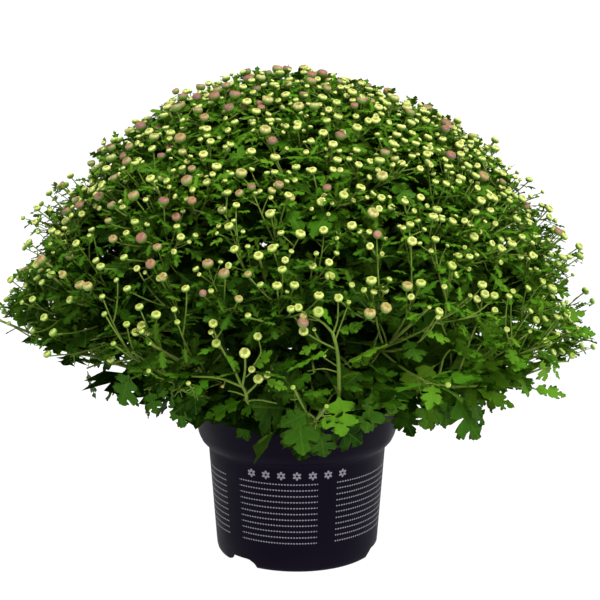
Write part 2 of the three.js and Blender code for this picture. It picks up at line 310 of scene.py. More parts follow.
def leaning(way, spread, angle):  # way, turned towards spread by an angle in degrees
    angle = math.radians(angle)
    return way * math.cos(angle) + spread * math.sin(angle)


def bend(start, middle, end, steps):  # a smooth path that leaves start towards middle
    t = np.linspace(0, 1, steps)[:, None]
    return (1 - t) ** 2 * start + 2 * t * (1 - t) * middle + t**2 * end


def onPath(path, share):  # the point that far along a path, and the path's direction there
    place = share * (len(path) - 1)
    k = min(int(place), len(path) - 2)
    return path[k] + (path[k + 1] - path[k]) * (place - k), unit(path[k + 1] - path[k])


# A round stem along a path. Its spots hold the turn, the length along it and the thickness.
def addTube(heap, path, radii, sides, tone):
    steps = len(path)
    radii = np.interp(np.linspace(0, 1, steps), np.linspace(0, 1, len(radii)), radii)
    ways = np.gradient(path, axis=0)
    ways /= np.linalg.norm(ways, axis=1)[:, None]
    side = basisOf(ways[0])[0]
    turns = np.arange(sides) * 2 * math.pi / sides
    along = 0.0
    points, spots = [], []
    for k in range(steps):
        side = unit(side - ways[k] * (side @ ways[k]))
        other = np.cross(ways[k], side)
        points.append(path[k] + radii[k] * (np.cos(turns)[:, None] * side + np.sin(turns)[:, None] * other))
        along += 0 if k == 0 else np.linalg.norm(path[k] - path[k - 1])
        spots += [(turn / (2 * math.pi), along, radii[k]) for turn in turns]
    points.append(path[-1:] + ways[-1] * radii[-1] * 0.6)
    spots.append((0, along, radii[-1]))
    heap.add(np.concatenate(points), ringFaces(steps, sides), np.array(spots), tone)
    top = heap.count - 1
    heap.faces += capFaces(top - sides, sides, top)


# leaves

# Half outlines from the stalk to the tip, along and across, as shares of a leaf's length and width.
leafForms = {
    "lobed": {
        "edge": [
            (0, 0.016), (0.13, 0.020), (0.21, 0.06), (0.25, 0.17), (0.275, 0.27), (0.315, 0.325), (0.355, 0.315),
            (0.365, 0.30), (0.395, 0.375), (0.44, 0.385), (0.465, 0.33), (0.465, 0.21), (0.475, 0.12), (0.50, 0.12),
            (0.53, 0.26), (0.555, 0.36), (0.60, 0.395), (0.632, 0.365), (0.65, 0.36), (0.68, 0.43), (0.722, 0.44),
            (0.748, 0.385), (0.752, 0.34), (0.79, 0.35), (0.806, 0.29), (0.772, 0.20), (0.752, 0.125), (0.785, 0.125),
            (0.825, 0.21), (0.868, 0.215), (0.888, 0.165), (0.905, 0.16), (0.94, 0.135), (0.955, 0.085), (0.985, 0.055),
        ],
        "ribs": [0.17, 0.32, 0.49, 0.64, 0.78, 0.90],
        "veins": [[(0.29, 0.12), (0.37, 0.25)], [(0.57, 0.14), (0.67, 0.30)], [(0.82, 0.09)]],
        "wave": 0.016,
        "seeds": (11, 19),
    },
    "small": {
        "edge": [
            (0, 0.025), (0.18, 0.03), (0.26, 0.10), (0.34, 0.27), (0.42, 0.36), (0.435, 0.22), (0.45, 0.09),
            (0.53, 0.17), (0.61, 0.35), (0.70, 0.45), (0.715, 0.28), (0.70, 0.10), (0.78, 0.13), (0.87, 0.22),
            (0.90, 0.12), (0.95, 0.05),
        ],
        "ribs": [0.2, 0.45, 0.7],
        "veins": [],
        "wave": 0.022,
        "seeds": (31, 37),
    },
    "slim": {
        "edge": [
            (0, 0.03), (0.22, 0.04), (0.32, 0.20), (0.44, 0.36), (0.46, 0.11), (0.58, 0.24), (0.71, 0.40),
            (0.71, 0.11), (0.85, 0.18), (0.92, 0.05),
        ],
        "ribs": [0.35, 0.72],
        "veins": [],
        "wave": 0.03,
        "seeds": (61, 67),
    },
    "tiny": {
        "edge": [(0, 0.03), (0.24, 0.05), (0.43, 0.34), (0.48, 0.10), (0.71, 0.34), (0.76, 0.10)],
        "ribs": [0.3, 0.6],
        "veins": [],
        "wave": 0.05,
        "seeds": (41, 47),
    },
    "bract": {
        "edge": [(0, 0.04), (0.25, 0.15), (0.6, 0.15), (0.85, 0.07)],
        "ribs": [0.4],
        "veins": [],
        "wave": 0.03,
        "seeds": (51, 54),
    },
}


# A flat leaf's points and triangles. A few of each form differ in every lobe and tooth.
def leafForm(kind, seed):
    form = leafForms[kind]
    draw = np.random.default_rng(seed)
    sides = []
    for side in (1, -1):
        rows = np.array(form["edge"])
        rows[2:, 1] *= 1 + np.interp(rows[2:, 0], [0.2, 0.45, 0.7, 0.9], draw.normal(0, 0.13, 4))
        rows[2:, 1] *= 1 + draw.normal(0, 0.02, len(rows) - 2)
        sides.append(rows * (1, side))
    outline = np.concatenate([sides[0], [[1, 0]], sides[1][::-1]])
    inner = [(x, 0) for x in form["ribs"]]
    for side in (1, -1):
        inner += [(x, side * y) for vein in form["veins"] for x, y in vein]
    flat = np.concatenate([outline, inner])
    n = len(outline)
    border = [(i, (i + 1) % n) for i in range(n)]
    found = delaunay_2d_cdt([Vector(p) for p in flat], border, [], 1, 1e-6)
    faces = np.array([face for face in found[2]])
    lift = np.zeros(len(flat))
    lift[:n] = draw.normal(0, form["wave"], n)
    lift[0] = lift[n - 1] = 0
    lift[n : n + len(form["ribs"])] = -0.012
    return {"flat": flat, "faces": faces, "lift": lift, "rim": n}


leafStock = {kind: [leafForm(kind, seed) for seed in range(*form["seeds"])] for kind, form in leafForms.items()}


def anyLeaf(draw, kind):
    return leafStock[kind][draw.integers(len(leafStock[kind]))]


# A leaf with an upper and a lower face. It arches down by the angle arch over its length.
def addLeaf(heap, form, root, along, normal, length, width, arch, cup, tone, twist=0.0, thick=0.45):
    x, y = form["flat"].T
    arch = arch if abs(arch) > 1e-3 else 1e-3
    onward = length * np.sin(arch * x) / arch
    drop = length * (1 - np.cos(arch * x)) / arch
    across = np.cross(normal, along)
    lift = length * form["lift"] - width * cup * np.abs(y)
    local = np.stack([onward + lift * np.sin(arch * x), width * y, lift * np.cos(arch * x) - drop], 1)
    turn = twist * x
    aside = local[:, 1] * np.cos(turn) - local[:, 2] * np.sin(turn)
    height = local[:, 1] * np.sin(turn) + local[:, 2] * np.cos(turn)
    top = root + local[:, :1] * along + aside[:, None] * across + height[:, None] * normal
    depth = np.where(np.arange(len(x)) < form["rim"], 0.0, thick)
    bottom = top - depth[:, None] * normal
    spots = np.stack([x, y, np.zeros(len(x))], 1)
    heap.add(top, form["faces"], spots, tone)
    heap.add(bottom, form["faces"][:, ::-1], spots + (0, 0, 1), tone)


leafColours = {
    "shaded": ((0.032, 0.110, 0.005), (0.005, 0.025, 0.002)),  # painted shade: the greens of young and old leaves, darkened for the shade deep in the plant
    "lit": ((0.092, 0.300, 0.010), (0.145, 0.290, 0.016)),  # painted light: two lit greens for leaves near the surface
    "blotch": (0.025, 0.080, 0.008),
    "rib": (0.120, 0.260, 0.012),
    "underside": (0.060, 0.125, 0.006),
    "undersideRib": (0.110, 0.190, 0.020),
    "veinStep": 0.0825,  # half the way from one side vein to the next, as a share of the length
}


def leafMaterial():
    leaf = Finish("leafGreen")
    along, across, under = leaf.note("spot")
    tint, age, patch = leaf.note("tone")
    side = abs(across)
    midrib = 1 - side.between(0.008, 0.03)
    slanted = along - side * 0.62 - 0.14
    vein = (1 - slanted.zigzag(leafColours["veinStep"]).between(0.004, 0.016)) * (1 - side.between(0.26, 0.40))
    ribs = (midrib + vein * 0.6).math("MINIMUM", midrib + vein * 0.6, 1.0)
    blotch = leaf.noise(leaf.place(), 55.0, 3.0).between(0.35, 0.68)
    # tint and age come from leafTone and carry painted light and shade: tint picks the painted lit greens over the
    # painted shaded ones, and age darkens the shaded ones
    fine = leaf.noise(leaf.place(), 900.0, 2.0)
    shaded = leaf.blend(age, *leafColours["shaded"])
    lit = leaf.blend(patch, *leafColours["lit"])
    green = leaf.blend(tint * 0.85 + blotch * 0.15, shaded, lit)
    green = leaf.blend(blotch * 0.2, green, leafColours["blotch"])
    upper = leaf.blend(ribs * 0.22, green, leafColours["rib"])
    lower = leaf.blend(ribs * 0.4, leaf.blend(0.45, green, leafColours["underside"]), leafColours["undersideRib"])
    colour = leaf.blend(under, upper, lower)
    gloss = 0.44 + blotch * 0.12 + under * 0.40
    relief = leaf.bump(fine * 0.25 - ribs * 0.8, 0.5, 0.0006)
    return leaf.finish(Base_Color=colour, Roughness=gloss, Normal=relief, Specular_IOR_Level=0.035)


# stems

# How thick the stems are, from the foot to the tip, and how many sides they have.
stemForms = {
    "spray": ([2.3, 1.9, 1.5, 1.0], 7),
    "branch": ([1.2, 0.8, 0.6], 5),
    "stalk": ([0.8, 0.55], 5),
    "twig": ([0.6, 0.45], 3),
    "leafStalk": ([1.0, 0.75], 5),
    "hungStalk": ([1.5, 1.2, 0.9], 5),
    "main": ([5.5, 5.3, 3.4], 12),
    "limb": ([4.2, 3.8, 2.9], 10),
    "limbTwig": ([2.4, 2.1, 2.3], 8),
}


stemColours = {
    "young": ((0.105, 0.200, 0.014), (0.190, 0.270, 0.036)),
    "old": ((0.120, 0.150, 0.025), (0.190, 0.200, 0.045)),
    "ridge": (0.080, 0.150, 0.030),
    "ridges": 8,
}


def stemMaterial():
    stem = Finish("stemGreen")
    turn, _, _ = stem.note("spot")
    _, age, _ = stem.note("tone")
    ridges = (turn * stemColours["ridges"]).zigzag(0.5).between(0.1, 0.4)
    blotch = stem.noise(stem.place(), 120.0, 3.0).between(0.3, 0.7)
    green = stem.blend(age, stem.blend(blotch, *stemColours["young"]), stem.blend(blotch, *stemColours["old"]))
    lined = stem.blend(ridges * 0.35, green, stemColours["ridge"])
    relief = stem.bump(ridges * -0.5 + stem.noise(stem.place(), 1200.0) * 0.4, 0.5, 0.0004)
    return stem.finish(Base_Color=lined, Roughness=0.5 + blotch * 0.2, Normal=relief, Specular_IOR_Level=0.15)


# buds

budSizes = {"radius": 4.6, "height": 6.6, "columns": {"tight": 8, "ringed": 12, "opening": 14}, "drawn": 0.83}

# Rings from the stalk to the middle: radius, height, how deep the petals flute it, and its place from 0 to 1.
budForms = {
    "tight": [
        (0.22, -0.80, 0, 0), (0.86, -0.45, 0, 0.25), (1.0, 0.10, 0, 0.46), (0.66, 0.60, 0, 0.76), (0, 0.70, 0, 1),
    ],
    "ringed": [
        (0.20, -0.72, 0, 0), (0.80, -0.50, 0, 0.20), (1.03, 0.0, 0.02, 0.44), (0.93, 0.38, 0.03, 0.60),
        (0.66, 0.56, 0.05, 0.74), (0.36, 0.46, 0.05, 0.88), (0, 0.30, 0, 1),
    ],
    "opening": [
        (0.20, -0.72, 0, 0), (0.70, -0.60, 0, 0.14), (1.0, -0.20, 0.01, 0.30), (1.08, 0.20, 0.03, 0.46),
        (1.0, 0.56, 0.05, 0.60), (0.74, 0.80, 0.07, 0.74), (0.38, 0.72, 0.07, 0.88), (0, 0.50, 0, 1),
    ],
}


def budForm(rings, columns):
    turns = np.arange(columns) * 2 * math.pi / columns
    crest = np.where(np.arange(columns) % 2 == 0, 1.0, -1.0)
    points, spots = [], []
    for radius, height, flute, place in rings[:-1]:
        reach = radius * (1 + flute * crest * 0.55)
        points.append(np.stack([reach * np.cos(turns), reach * np.sin(turns), height + flute * crest * 0.55], 1))
        spots.append(np.stack([np.full(columns, place), (crest + 1) / 2, turns], 1))
    points.append(np.array([[0, 0, rings[-1][1]]]))
    spots.append(np.array([[1, 0.5, 0]]))
    faces = ringFaces(len(rings) - 1, columns)
    last = (len(rings) - 2) * columns
    caps = capFaces(last, columns, last + columns)
    return {"points": np.concatenate(points), "faces": faces, "caps": caps, "spots": np.concatenate(spots)}


budStock = {name: budForm(rings, budSizes["columns"][name]) for name, rings in budForms.items()}


def addBud(heap, kind, centre, way, radius, spin, tone):
    form = budStock[kind]
    over, side = basisOf(way)
    over, side = over * math.cos(spin) + side * math.sin(spin), side * math.cos(spin) - over * math.sin(spin)
    points = centre + radius * (form["points"] @ np.stack([over, side, way]))
    first = heap.count
    heap.add(points, form["faces"], form["spots"], tone)
    heap.faces += [[first + i for i in cap] for cap in form["caps"]]


budColours = {
    "bract": ((0.100, 0.230, 0.018), (0.300, 0.430, 0.060)),  # between the scales and on them
    "pale": ((0.320, 0.460, 0.060), (0.860, 0.870, 0.270)),  # green petals, less and more open
    "pink": ((0.520, 0.250, 0.120), (0.200, 0.065, 0.105)),
    "groove": ((0.280, 0.420, 0.045), (0.300, 0.110, 0.080)),  # between green and between pink petals
    "pit": ((0.240, 0.230, 0.015), (0.280, 0.120, 0.030)),
    "scales": 2.5466,  # sixteen rows of scales round a bud
}


def budMaterial():
    bud = Finish("budPetals")
    place, crest, turn = bud.note("spot")
    tint, pink, _ = bud.note("tone")
    scales = (turn * budColours["scales"] + place * 6.0).zigzag(0.5).between(0.30, 0.50)
    bract = bud.blend(scales, *budColours["bract"])
    petal = bud.blend(pink, bud.blend(tint, *budColours["pale"]), bud.blend(tint, *budColours["pink"]))
    petal = bud.blend((1 - crest.between(0.0, 0.75)) * 0.5, petal, bud.blend(pink, *budColours["groove"]))
    pit = bud.blend(pink * 0.6, *budColours["pit"])
    inner = place.between(0.72, 0.88)
    outer = place.between(0.36, 0.62)
    colour = bud.blend(outer, bract, bud.blend(inner * 0.85, petal, pit))
    speck = bud.noise(bud.place(), 1500.0, 2.0)
    relief = bud.bump(speck * 0.3 + scales * (1 - outer) * 0.6, 0.4, 0.0004)
    return bud.finish(Base_Color=colour, Roughness=0.46 + speck * 0.12, Normal=relief)


# the dome that the sprays fill, as in the solid model

potSize = {"height": 143, "rim": 95}
crownPoint = np.array([0.0, 0.0, 128.0])
dome = {
    "radius": 261,
    "widest": 232,
    "top": 438,
    "upper": (1.8, 0.625),  # how it rounds off above its widest, as two powers
    "lower": (0.48, 4),  # how much it draws in below that, and the power
    "waves": [(4, 4, 0.6), (3, 6, 2.1)],  # round its edge: height, number and shift
    "typical": 230,  # its usual distance from the crown
}
plan = {
    "count": 28,
    "start": 72,
    "lowestRise": 12.5,
    "firstBearing": 112,
    "lowRise": 24,
    "jitter": 2.2,
    "uneven": 10,
    "sides": 5,
    "stemRadius": 2.3,
    "tipRadius": 1.6,
    "bare": 52,
    "coreShare": 0.4,
    "coreEnds": (8, 6),  # from the stem's start to the core, and from the core to where the bare stem begins
    "coreRings": [(0, 0.14), (0.3, 0.6), (0.68, 1), (1, 0.7)],
}


def domeRadiusAt(z):
    if z >= dome["widest"]:
        share = min(1, (z - dome["widest"]) / (dome["top"] - dome["widest"]))
        first, second = dome["upper"]
        return dome["radius"] * (1 - share**first) ** second
    share = min(1, (dome["widest"] - z) / (dome["widest"] - potSize["height"]))
    much, power = dome["lower"]
    return dome["radius"] * (1 - much * share**power)


def domeReach(way):  # distance from the crown to the dome's surface
    flat = math.hypot(way[0], way[1])
    near, far = 0.0, 400.0
    for _ in range(30):
        middle = (near + far) / 2
        z = crownPoint[2] + middle * way[2]
        if z < dome["top"] and middle * flat < domeRadiusAt(z):
            near = middle
        else:
            far = middle
    around = math.atan2(way[1], way[0])
    return near + flat * sum(high * math.sin(count * around + shift) for high, count, shift in dome["waves"])


def sprayDirection(i):
    draw = randomFrom(31 + 17 * i)
    sine = 1 - ((i + 0.5) / plan["count"]) * (1 - math.sin(math.radians(plan["lowestRise"])))
    rise = riseOf(sine) + 2 * plan["jitter"] * (draw() - 0.5) * min(1, i)
    return directionAt(rise, plan["firstBearing"] - i * 137.508 + 2 * plan["jitter"] * (draw() - 0.5))


sprayWays = np.array([sprayDirection(i) for i in range(plan["count"])])
sprayAngle = math.acos(1 - (1 - math.sin(math.radians(plan["lowestRise"]))) / plan["count"])


def roomOf(i):  # tells which points are nearer to this spray than to any other
    near = [j for j in range(plan["count"]) if j != i and sprayWays[i] @ sprayWays[j] > 0.5]
    walls = np.array([unit(sprayWays[i] - sprayWays[j]) for j in near])

    def inRoom(points, margin=0.5):
        points = np.atleast_2d(points)
        clear = ((points - crownPoint) @ walls.T >= margin).all(axis=1)
        past = np.hypot(points[:, 0], points[:, 1]) - potSize["rim"] - 8
        return clear & (points[:, 2] > potSize["height"] + 3 - np.maximum(0, past))

    return inRoom


def drawnIn(point, axis, inRoom, margin):  # a point moved towards the axis until it has room
    start = point - crownPoint
    centre = axis * (start @ axis)
    share = 1.0
    while share > 0.05:
        tried = centre + (start - centre) * share + crownPoint
        if inRoom(tried, margin)[0]:
            return tried
        share -= 0.05
    return centre + crownPoint


# One spray's stem, leaves and first buds, at the places that they have in the solid model.
leafPlan = {
    "sites": [(1, 1), (2, 0), (2, 1), (2, 1), (3, 0), (3, 0), (3, 1), (4, 0)],
    "length": 51,
    "width": 0.92,
    "sunk": 2.6,
    "clear": 3,
    "cup": 0.1,
    "rib": 1.8,
    "sizes": [1, 0.87, 0.74, 0.6],
    "pitches": [70, 62, 54, 46, 38, 30, 22],
    "hangPitches": [112, 102, 92, 82, 72, 62, 52, 42],
    "edge": np.array([[0, 0.02], [0.36, 0.4], [0.5, 0.15], [0.74, 0.43], [1, 0]]),
    "edgeRibs": [0, 1, 2, 2, 2],
    "ribs": np.array([0, 0.26, 0.66]),
}


# The spray's side buds: the first one's distance from the axis, the last one's as a share of the spray's half width,
# how deep they may lie, and a base and a random part for where each aims and for its size.
budPlan = {"count": 6, "nearest": 12, "farthest": 0.86, "deep": 8, "aim": (0.9, 0.2), "size": (0.82, 0.3), "below": 12}


def plainLeaf(root, along, normal, length, droop):  # a leaf's corners in the solid model, and points on it
    width = length * leafPlan["width"]
    across = np.cross(normal, along)

    def at(x, y, lift=0.0):
        x, y = np.asarray(x, float)[:, None], np.asarray(y, float)[:, None]
        rise = lift - length * droop * x * x - width * leafPlan["cup"] * np.abs(y)
        return root + length * x * along + width * y * across + rise * normal

    x, y = leafPlan["edge"].T
    outline = at(np.concatenate([x, x[-2::-1]]), np.concatenate([y, -y[-2::-1]]))
    top = at(leafPlan["ribs"][1:], np.zeros(2), leafPlan["rib"] * 0.4)
    bottom = at(leafPlan["ribs"], np.zeros(3), -leafPlan["rib"] * 0.6)
    n = len(outline)
    halfway = [(outline[k] + top[leafPlan["edgeRibs"][min(k, n - 1 - k)] - 1]) / 2 for k in range(1, n - 1)]
    balls = np.concatenate([outline[1:-1], halfway])
    return np.concatenate([outline[1:-1], top, bottom[1:]]), balls


class Taken:  # the room that buds, stems and leaves already fill, as balls
    def __init__(self):
        self.centres, self.radii = np.zeros((0, 3)), np.zeros(0)

    def add(self, centres, radius):
        self.centres = np.concatenate([self.centres, np.atleast_2d(centres)])
        self.radii = np.concatenate([self.radii, np.full(len(np.atleast_2d(centres)), float(radius))])

    def clear(self, centres, radius):
        gaps = np.atleast_2d(centres)[:, None] - self.centres[None]
        return bool(((gaps**2).sum(2) > (radius + self.radii) ** 2).all())


def stemBalls(start, end, bare):
    long = np.linalg.norm(end - start)
    return np.array([start + (end - start) * d / long for d in np.arange(bare, long, 4)])


def growSpray(i):
    draw = randomFrom(977 + 101 * i)
    axis = sprayWays[i]
    inRoom = roomOf(i)
    sides = plan["sides"]
    reach = domeReach(axis) + plan["uneven"] * (draw() - 0.5)
    low = riseOf(axis[2]) < plan["lowRise"]
    firstTurn = math.pi * (1 - 1 / sides) if low else draw() * 2 * math.pi
    over, side = basisOf(axis)

    def beside(distance, spread=axis, out=0.0):
        return crownPoint + axis * distance + spread * out

    widest = reach * math.tan(sprayAngle) * plan["coreShare"]

    def ring(distance, radius, uneven=0.0):
        turns = [firstTurn + k * 2 * math.pi / sides for k in range(sides)]
        return [beside(distance, aroundAxis(axis, turn), radius * (1 + uneven * (2 * draw() - 1))) for turn in turns]

    rings = [ring(plan["start"], plan["stemRadius"])]
    bareFrom = reach - plan["bare"]
    first, last = plan["start"] + plan["coreEnds"][0], bareFrom - plan["coreEnds"][1]
    for place, wide in plan["coreRings"]:
        found = ring(first + (last - first) * place, widest * wide, 0.2)
        rings.append([drawnIn(point, axis, inRoom, 2) for point in found])
    rings.append(ring(bareFrom + plan["coreEnds"][1], plan["tipRadius"]))
    for _ in range(3):
        ring(reach, 0)  # the solid spends as many random numbers on its upper rings

    radius, height = budSizes["radius"], budSizes["height"]
    taken = Taken()
    taken.add(stemBalls(beside(bareFrom), beside(reach - 8), 0), 1)
    taken.add(beside(reach - height / 2), radius + 1)
    buds = []
    nearest, farthest = budPlan["nearest"], budPlan["farthest"] * reach * math.tan(sprayAngle)
    for k in range(budPlan["count"]):
        share = k / (budPlan["count"] - 1)
        turn = firstTurn + k * golden
        spread = aroundAxis(axis, turn)
        out = nearest + (farthest - nearest) * share
        aim = out * (budPlan["aim"][0] + budPlan["aim"][1] * draw())
        way = leaning(axis, spread, math.degrees(math.atan2(aim, reach)))
        goal = crownPoint + way * (domeReach(way) - budPlan["deep"] * draw())
        size = budPlan["size"][0] + budPlan["size"][1] * draw()
        root = beside(bareFrom - budPlan["below"], spread, min(out * 0.3, widest * 0.4))
        end = drawnIn(goal, axis, inRoom, radius * size + 1)
        grow = unit(end - root)
        foot = end - grow * height * size
        head = (foot + end) / 2
        if (low and math.cos(turn) < -0.1) or not taken.clear(head, radius * size):
            continue  # a low spray has only leaves on its underside
        taken.add(head, radius * size + 1)
        taken.add(stemBalls(root, foot, 10), 1)
        buds.append({"head": head, "size": size, "spread": spread})

    def fittedLeaf(foot, long, droop):
        away = foot - beside(axis @ (foot - crownPoint))
        bearing = math.atan2(away @ side, away @ over)
        hangs = low and math.cos(bearing) < -0.2
        for size in leafPlan["sizes"]:
            for aside in (0, 0.35, -0.35, 0.7, -0.7):
                for pitch in leafPlan["hangPitches" if hangs else "pitches"]:
                    spread = aroundAxis(axis, bearing + aside)
                    along = leaning(axis, spread, pitch)
                    normal = leaning(axis, spread, pitch - 90)
                    root = foot - along * leafPlan["sunk"]
                    corners, balls = plainLeaf(root, along, normal, long * size, droop)
                    if inRoom(corners).all() and taken.clear(balls, leafPlan["clear"]):
                        taken.add(balls, leafPlan["clear"])
                        return {"root": root, "along": along, "normal": normal, "length": long * size, "droop": droop}
        return None

    leaves = []
    for k, (band, upper) in enumerate(leafPlan["sites"]):
        here, after = (2 * k) % sides, (2 * k + 1) % sides
        below, above = rings[band], rings[band + 1]
        corners = [below[here], above[after], above[here] if upper else below[after]]
        first, second = 0.25 + 0.15 * draw(), 0.25 + 0.15 * draw()
        foot = corners[0] * first + corners[1] * second + corners[2] * (1 - first - second)
        long = leafPlan["length"] * (1.08 - 0.42 * k / 7) * (0.92 + 0.16 * draw())
        place = fittedLeaf(foot, long, 0.1 + 0.14 * draw())
        if place:
            leaves.append(place)
    return {"axis": axis, "reach": reach, "beside": beside, "buds": buds, "leaves": leaves}


grown = [growSpray(i) for i in range(plan["count"])]
planned = [sum(len(spray[name]) for spray in grown) for name in ("leaves", "buds")]
print("sprays planned, leaves and side buds:", planned)

materials = {"leaf": leafMaterial(), "stem": stemMaterial(), "bud": budMaterial()}

# the finer sprays

growth = {
    "tries": 1500,  # even directions at which a further cluster of buds may stand
    "headGap": (13, 26),  # between the main buds of two clusters, at the top of the dome and at its sides
    "headDeep": 16,
    "headSpare": 8,  # between a bud of a low cluster and any other
    # the rise in degrees below which there are few buds, and what the front, the right and chance add to it
    "lowestHead": (17, 17, -5, 9),
    "near": (7, 16),  # how far from its cluster's main bud a smaller one stands
    "nearShares": [0.08, 0.20, 0.28, 0.24, 0.20],  # clusters with none, one, two, three and four smaller buds
    "pinkShare": 0.34,
    "stalk": 36,  # the length that a main bud's stalk tends to
    "poorest": 60,  # a stalk that fits worse than this starts from the spray's own stem
    "stemLeaves": (80, 9.5),  # where the stem's own leaves begin, and the step between them
    "twigLeaf": 10.5,  # millimetres of side branch or stalk for each leaf
    "outerLeaves": {
        "tries": 2700, "lowest": 11, "deep": (2, 60), "shape": (0.9, 1.4), "away": 3, "longest": 30, "grows": 0.34,
    },
    "innerLeaves": {
        "tries": 1500, "lowest": 7, "deep": (40, 150), "shape": (1.0, 1.2), "away": 10, "longest": 54, "grows": 0.48,
    },
    "lowLeaf": (235, 26),  # below this height the added leaves are no longer than this
    "rimInner": (160, 245),  # no inner leaves further out than this and below this height
    # where the front is open: lowest and highest rise, how far front and right in the direction, share left out
    "hollow": (20, 50, -0.40, 0.25, 0.65),
    "airy": (135, 238, 0.7),  # at the lower right, from this X and below this height, this share is left out
    "dents": [(30, 0, 20), (48, 180, 32), (62, 0, 16), (64, 180, -16)],  # rise, bearing and how deep
    "under": [(120, 140), (175, 166), (211, 184), (250, 206)],  # the underside: distance from the axis, height
    "clearings": [  # left, right, foot, top and back of each
        (-2, 56, 190, 262, -204), (-70, -18, 180, 240, -184), (54, 116, 216, 262, -176),
    ],
    "hanging": (-0.3, 0.74, 0.4),  # the solid's leaves that point lower than this: their length and their tint
}

# Clusters of small buds low on the sides: rise, bearing, how many, how far apart, share of pink ones.
lowClusters = [
    (31, -158, 4, 9, 0), (24, -147, 5, 10, 0.2), (31, -138, 4, 9, 0.3), (39, -132, 4, 11, 0.3), (33, -128, 6, 9, 0),
    (29, -120, 4, 9, 0), (33, -112, 4, 9, 0.5), (35, -99, 5, 9, 0.5), (34, -90, 6, 9, 0.1), (34, -80, 5, 9, 0.3),
    (33, -73, 3, 9, 0.4), (32, -62, 3, 9, 0), (30, -49, 5, 9, 0), (30, -37, 4, 10, 0), (24, -31, 5, 10, 0),
    (22, -17, 5, 10, 0),
]

# What changes over the plant, as places and the values there. Steepness is the upward share of a direction.
habit = {
    "longer": ([0.22, 0.52, 0.75, 0.95], [1.5, 1, 1, 1.2]),  # leaves, by steepness
    "outward": ([0.5, 0.75], [0, 0.9]),  # how far their faces turn outwards, by steepness
    "wider": ([50, 80], [1, 1.7]),  # leaves, by depth
    "high": ([280, 380], [0, 0.28]),  # painted light: how much brighter a leaf is painted, by height, for the light that falls on the top of the plant
    "frontShade": ([-190, -70], [1, 0]),  # painted shade: how much darker a leaf is painted in the hollow front, where shade falls, by Y, height and X
    "frontShadeHeight": ([200, 240, 300, 370], [0, 1, 1, 0]),
    "frontShadeSide": ([60, 110], [1, 0]),
    "young": ([-220, -100, 60, 130], [-0.2, 0, 0.15, 1]),  # painted light, not youth: how much lighter a leaf is painted at the lower right, where light reaches in under the dome, by X and height
    "lowRightLightHeight": ([230, 350], [1, 0]),
    "opened": ([0.35, 0.85], [0, 0.55]),  # how pale a bud has become, by steepness
}


def habitAt(place, name):
    return np.interp(place, *habit[name])


def onDome(way, deep):  # the dome is uneven, and full at the top
    x, y, z = way * 9
    dent = 5 + 5 * math.sin(x + 1.7 * math.sin(y + 0.6)) * math.cos(1.3 * z + y)
    side = np.interp(way[2], [0.6, 0.85], [1, 0.3])
    for rise, bearing, much in growth["dents"]:
        deep += much * max(0, 10 * (way @ directionAt(rise, bearing)) - 9)
    return crownPoint + way * (domeReach(way) - (deep + dent) * side)


# Directions spread evenly over the dome, from straight up down to the rise lowest.
def evenWays(count, lowest):
    span = 1 - math.sin(math.radians(lowest))
    return [directionAt(riseOf(1 - (k + 0.5) / count * span), k * 137.508) for k in range(count)]


def ownerOf(way):
    return grown[int(np.argmax(sprayWays @ way))]


def lowestHead(way):  # the rise in degrees below which there are hardly any buds
    lowest, front, right, _ = growth["lowestHead"]
    return lowest + front * min(1, 1.4 * max(0, -way[1])) + right * max(0, way[0])


# The main bud of every cluster: the solid model's own buds, and more where gaps are left between them.
def planHeads():
    draw = np.random.default_rng(2024)
    for spray in grown:
        spray["top"] = spray["beside"](spray["reach"] - 3.3)
        spray["more"] = []
    centres = np.array([spray["top"] for spray in grown] + [bud["head"] for spray in grown for bud in spray["buds"]])
    for rise, bearing, count, apart, pinkShare in lowClusters:
        middle = directionAt(rise, bearing)
        for k in range(count):
            turn, out = k * golden + draw.uniform(-0.4, 0.4), apart * math.sqrt(k + 0.3) / dome["typical"]
            way = unit(middle + aroundAxis(middle, turn) * out)
            goal = onDome(way, draw.uniform(2, 10))
            size, pink = draw.uniform(0.62, 1.05), draw.uniform(0.5, 1) if draw.random() < pinkShare else 0
            if ((centres - goal) ** 2).sum(1).min() > growth["headSpare"] ** 2:
                centres = np.concatenate([centres, [goal]])
                ownerOf(way)["more"].append((goal, size, pink))
    for way in evenWays(growth["tries"], growth["lowestHead"][0]):
        goal = onDome(way, 4 + growth["headDeep"] * draw.beta(1.1, 2.0)) + sideways(way, draw) * 4
        lowest = lowestHead(way) + growth["lowestHead"][3] * draw.random()
        gap = np.sqrt(((centres - goal) ** 2).sum(1).min())
        least = np.interp(way[2], [0.4, 0.9], growth["headGap"][::-1]) * draw.uniform(0.8, 1.15)
        if riseOf(way[2]) > lowest and gap > least:
            centres = np.concatenate([centres, [goal]])
            ownerOf(way)["more"].append((goal, draw.uniform(0.72, 1.10), None))


# Where further leaves go, evenly through the plant: their middles and how deep they lie.
def planLeaves(name):
    wanted = growth[name]
    draw = np.random.default_rng(len(name) * 7 + wanted["tries"])
    for spray in grown:
        spray[name] = []
    first, last, front, right, share = growth["hollow"]
    for way in evenWays(wanted["tries"], wanted["lowest"]):
        low, high = wanted["deep"]
        inside = first < riseOf(way[2]) < last and way[1] < front and way[0] < right
        if inside and name == "outerLeaves" and draw.random() < share:
            continue
        deep = low + (high - low) * draw.beta(*wanted["shape"])
        ownerOf(way)[name].append((onDome(way, deep) + sideways(way, draw) * draw.uniform(0, 8), deep))


def outAt(point):  # distance from the pot's axis
    return math.hypot(point[0], point[1])


def cleared(point):  # free of foliage, in front of the shoots that stand free
    x, y, z = point
    return any(left < x < right and foot < z < top and y < back for left, right, foot, top, back in growth["clearings"])


def inBox(points, spare=4.0):
    low, high = np.array(cadBox[0]) / mm - spare, np.array(cadBox[1]) / mm + spare
    return bool((points > low).all() and (points < high).all())


